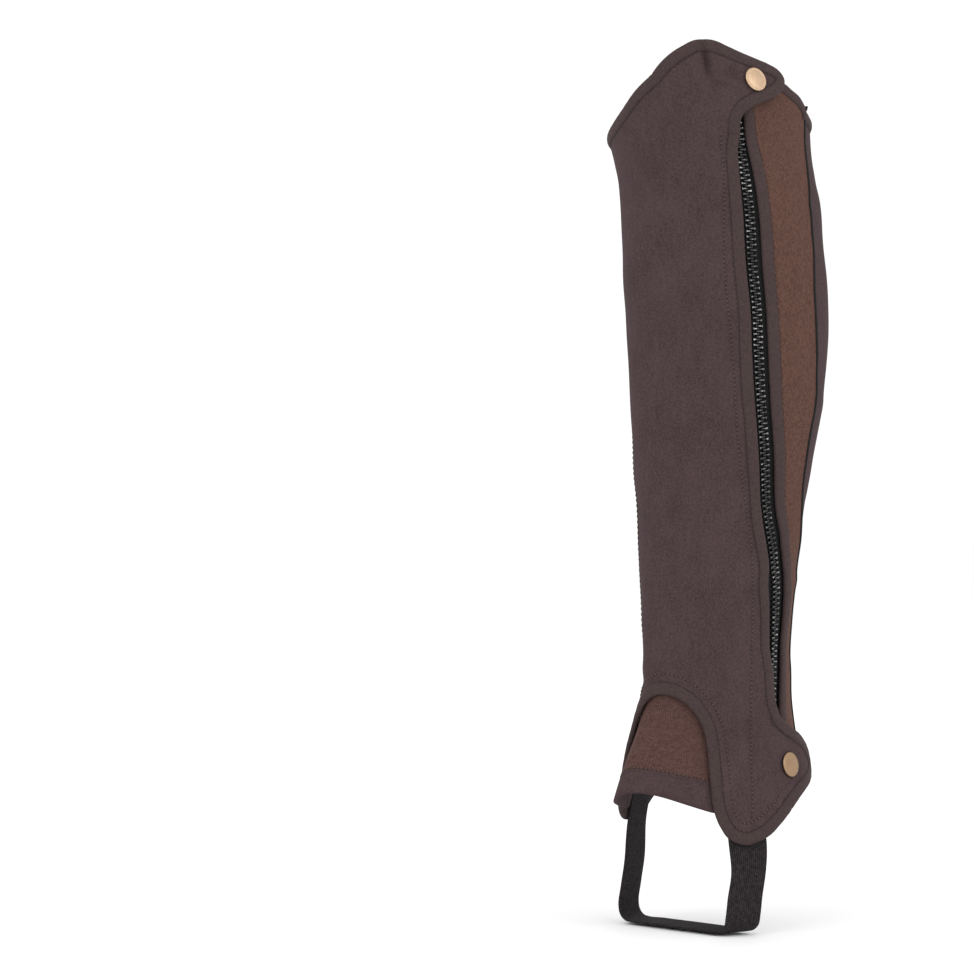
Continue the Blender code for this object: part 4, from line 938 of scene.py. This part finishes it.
def strap_half(side, span, rows, across, surface):
    """Half of one edge of the strap: on the leg, straight down, round a corner and flat to the middle."""
    low = np.array(STRAP_LOW, float)
    turn = STRAP_CORNER_TURNS
    corner_x = span - STRAP_CORNER * (1 - np.cos(turn))
    flat_x = np.linspace(corner_x[-1], 0.0, STRAP_FLAT_POINTS)[1:]
    x = np.concatenate([np.full(len(low), span), corner_x, flat_x])
    x = (x - STRAP_TOE_IN * across * np.clip(x / corner_x[-1], 0.0, 1.0)) * side
    z = np.concatenate([low[:, 0], low[-1, 0] - STRAP_CORNER * np.sin(turn), np.full(len(flat_x), STRAP_BOTTOM)])
    forward = np.concatenate([low[:, 1], np.full(len(turn) + len(flat_x), low[-1, 1])]) + across
    return np.vstack([strap_on_leg(rows, side, across, surface), np.stack([x, -forward, z], axis=-1)])


def strap_edge(across):
    """One edge of the strap's outer face, from the outer tongue down, under the foot and up to the inner tongue."""
    outer = strap_half(1.0, STRAP_SPAN_OUTER, STRAP_OUTER, across, lifted_cloth)
    inner = strap_half(-1.0, STRAP_SPAN_INNER, STRAP_INNER, across, close_cloth)
    return np.vstack([outer, inner[-2::-1]])


strap_front, strap_back = strap_edge(STRAP_WIDTH / 2), strap_edge(-STRAP_WIDTH / 2)
strap_line = (strap_front + strap_back) / 2
strap_knots = run_along(strap_line)
strap_steps = np.linspace(0.0, strap_knots[-1], int(strap_knots[-1] / (RIB_PITCH / RIB_STEPS)))
strap_middle = smooth_at(strap_steps, strap_knots, strap_line)
strap_wide = unit(smooth_at(strap_steps, strap_knots, strap_front - strap_back))
strap_normal = unit(np.cross(np.gradient(strap_middle, axis=0), strap_wide))
strap_away = strap_middle - (0.0, -STRAP_LOW[-1][1], STRAP_LOW[0][0])
strap_normal *= np.sign((strap_normal * strap_away).sum(-1).mean())
strap_across, strap_out = ring(STRAP_SIDES, STRAP_ACROSS_POWER, STRAP_OUT_POWER, lead=np.pi / STRAP_SIDES)
strap_rib = RIB_DEPTH * np.sin(2 * np.pi * strap_steps / RIB_PITCH)
strap_thick = strap_out * STRAP_THICKNESS / 2 * (1 + strap_rib[:, None] / STRAP_THICKNESS * 2)
strap_core = strap_middle - strap_normal * (STRAP_THICKNESS / 2 + RIB_DEPTH / 2)
strap_rings = rings_about(strap_core, strap_wide, strap_normal, strap_across * STRAP_WIDTH / 2, strap_thick)
strap = tube("foot_strap", strap_rings * MM, webbing)
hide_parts("instep_strap")

# Sewing: single stitches of dark thread, or of pale thread that is a painted highlight, each a small bar that dips into
# the cloth at its ends.
# Rows follow the bound edges of suede and stretch panel, the inner seam, the grip patch and the instep band.
# A second row runs beside the zip, flap and arch, and along the band: short pale stitches, a painted highlight, over
# longer dark ones, painted shade of the groove they sink into.
STITCH_STEPS = np.array([0.0, 0.14, 0.5, 0.86, 1.0])
STITCH_FAT = np.array([0.35, 0.85, 1.0, 0.85, 0.35])
STITCH_RISE = np.array([-0.3, 0.08, 0.22, 0.08, -0.3])
STITCH_SIDES = 6
REACH_FOR_CLOTH = 0.008
EDGE_ROW = 7.25
CROWDED = 0.4
SECOND_ROW = 12.0
ZIP_ROW_THINNING = 40
ZIP_ROW_LEAVES = -110.0
ZIP_ROW_FOOT = (
    (68, -154.5), (73, -178.5), (75.6, -202.5), (75.4, -214), (74.7, -226), (74.6, -250), (75, -273.5), (74.8, -298),
    (74.3, -307),
)
FLAP_ROW_TOP = -285.0
INNER_SEAM_ENDS = (98.0, -296.0)
INNER_SEAM_ROWS = (2.6, -2.6)
INNER_SEAM_THREAD = 0.35
BAND_ROW = 1.5
ZIGZAG_ROW = -0.6
PATCH_ROW = -9.0
INNER_SEAM = (
    (-320, -63), (-300, -59.5), (-275, -54.5), (-250, -49), (-225, -43.5), (-196, -39.5), (-160, -37.5),
    (-125, -39.5), (-100, -45), (-70, -54), (-40, -59), (-13, -62.5), (21, -65.5), (61, -65.5), (110, -67.5),
)
PATCH_EDGE = (
    (-125.5, 66), (-112, 62), (-102.5, 54), (-95.5, 42), (-91, 27), (-88, 9), (-85.5, -10), (-83, -35), (-80.5, -62),
    (-76.5, -90), (-74, -118), (-73.5, -145), (-76, -172), (-83, -190), (-96, -197.5), (-110, -196.5), (-124, -188),
    (-138, -172), (-149, -150), (-155, -122), (-155.5, -95), (-151, -68), (-147, -40), (-146, -20), (-147.5, 0),
    (-151, 20), (-153.5, 38), (-152.5, 52), (-143, 61.5),
)
INNER_SEAM_TABLE = columns(SEAM_COLUMNS, INNER_SEAM)
EDGE_STITCH = {"pitch": 2.7, "length": 2.0, "thick": 0.75}
# The dark bar under each pale stitch is longer, so a rim of painted groove shade shows round it.
GROOVE_SHADE_STITCH = {"pitch": 2.6, "length": 2.55, "thick": 0.6}
HIGHLIGHT_STITCH = {"pitch": 2.6, "length": 1.45, "thick": 0.75}
ZIGZAG_STITCH = {"pitch": 1.9, "zigzag": 3.0}


def cloth_tree(pieces):
    """A search tree of the faces of several pieces."""
    points, faces = [], []
    for piece in pieces:
        mesh, first = piece.data, len(points)
        points.extend(points_of(mesh).tolist())
        faces.extend([first + k for k in face.vertices] for face in mesh.polygons)
    return BVHTree.FromPolygons(points, faces)


def on_cloth(places, surface, tree):
    """Points in metres on the eased cloth nearest outside the given places, and the outward directions there."""
    points = eased(surface(places) * MM)
    normal = outward(surface, places)
    for k in range(len(points)):
        hit = tree.ray_cast(Vector(points[k] + normal[k] * REACH_FOR_CLOTH), Vector(-normal[k]), 2 * REACH_FOR_CLOTH)
        if hit[0] is not None:
            points[k] = hit[0]
    return points, normal


def sew(name, paths, surface, tree, finish, pitch=3.3, length=2.5, thick=0.55, zigzag=0.0):
    """Stitches along paths; a zigzag runs from side to side with no gaps."""
    bars = []
    for path in paths:
        first, second = evenly(path, surface, pitch), evenly(path, surface, pitch, length)
        if zigzag:
            swing = zigzag / 2 * np.where(np.arange(len(first)) % 2, 1.0, -1.0)[:, None]
            points, normal = on_cloth(beside(first, surface, swing), surface, tree)
            bars.append((points[:-1], points[1:], normal[:-1]))
        else:
            count = min(len(first), len(second))
            points, normal = on_cloth(first[:count], surface, tree)
            bars.append((points, on_cloth(second[:count], surface, tree)[0], normal))
    starts, ends, normals = (np.vstack(column) for column in zip(*bars))
    along = ends - starts
    side = unit(np.cross(normals, along))
    middle = rings_about(starts, along, normals, STITCH_STEPS, STITCH_RISE * MM)
    radius = STITCH_FAT[:, None] * thick / 2 * MM
    points = rings_about(middle, side[:, None], normals[:, None], *(radius * wave for wave in ring(STITCH_SIDES)))
    many(name, points, finish)


def sew_over_painted_shade(name, paths, surface, tree):
    """Pale stitches, a painted highlight, over longer dark ones that paint the groove's shade."""
    sew(name + "_painted_groove_shade", paths, surface, tree, thread, **GROOVE_SHADE_STITCH)
    sew(name + "_stitches", paths, surface, tree, thread_painted_highlight, **HIGHLIGHT_STITCH)


suede_tree = cloth_tree([outer_cloth, inner_cloth])
patch_tree = cloth_tree([patch_cloth, inner_cloth])
band_tree = cloth_tree([band_cloth, gusset_cloth])
stretch_tree = cloth_tree([stretch_cloth])


def inside(path, surface, distance):
    """The path moved into the cloth from its bound edge, with no crowded point left in a tight bend."""
    moved = beside(path, surface, -distance)
    edge = surface(path)
    clear = [np.linalg.norm(edge - point, axis=-1).min() > distance - CROWDED for point in surface(moved)]
    return moved[np.array(clear)]


edge_rows = [inside(path, lifted_cloth, EDGE_ROW) for path in suede_edges.values()]
sew("edge_stitches", edge_rows, lifted_cloth, suede_tree, thread, **EDGE_STITCH)
zip_row, flap_row, arch_row = (
    inside(suede_edges[name], lifted_cloth, SECOND_ROW)
    for name in ("zip_front_binding", "flap_binding", "arch_binding")
)
zip_row = zip_row[np.argsort(-zip_row[:, 1])]
zip_row = smooth_path((*zip_row[zip_row[:, 1] > ZIP_ROW_LEAVES][::ZIP_ROW_THINNING], *ZIP_ROW_FOOT))
second_rows = [zip_row, flap_row[flap_row[:, 1] < FLAP_ROW_TOP], arch_row]
sew_over_painted_shade("second", second_rows, lifted_cloth, suede_tree)
inner_seam = seam_path(INNER_SEAM_TABLE, *INNER_SEAM_ENDS)
seam_rows = [beside(inner_seam, close_cloth, offset) for offset in INNER_SEAM_ROWS]
sew("inner_seam_stitches", seam_rows, close_cloth, suede_tree, thread, thick=INNER_SEAM_THREAD)
sew_over_painted_shade("band", [beside(band_top, close_cloth, BAND_ROW)], close_cloth, band_tree)
patch_path = smooth_path((*PATCH_EDGE, PATCH_EDGE[0]))
zigzag_row, patch_row = (beside(patch_path, close_cloth, offset) for offset in (ZIGZAG_ROW, PATCH_ROW))
sew("patch_zigzag", [zigzag_row], close_cloth, patch_tree, thread, **ZIGZAG_STITCH)
sew("patch_stitches", [patch_row], close_cloth, patch_tree, thread)
stretch_rows = [inside(path, close_cloth, EDGE_ROW) for path in stretch_edges.values()]
sew("stretch_stitches", stretch_rows, close_cloth, stretch_tree, thread)
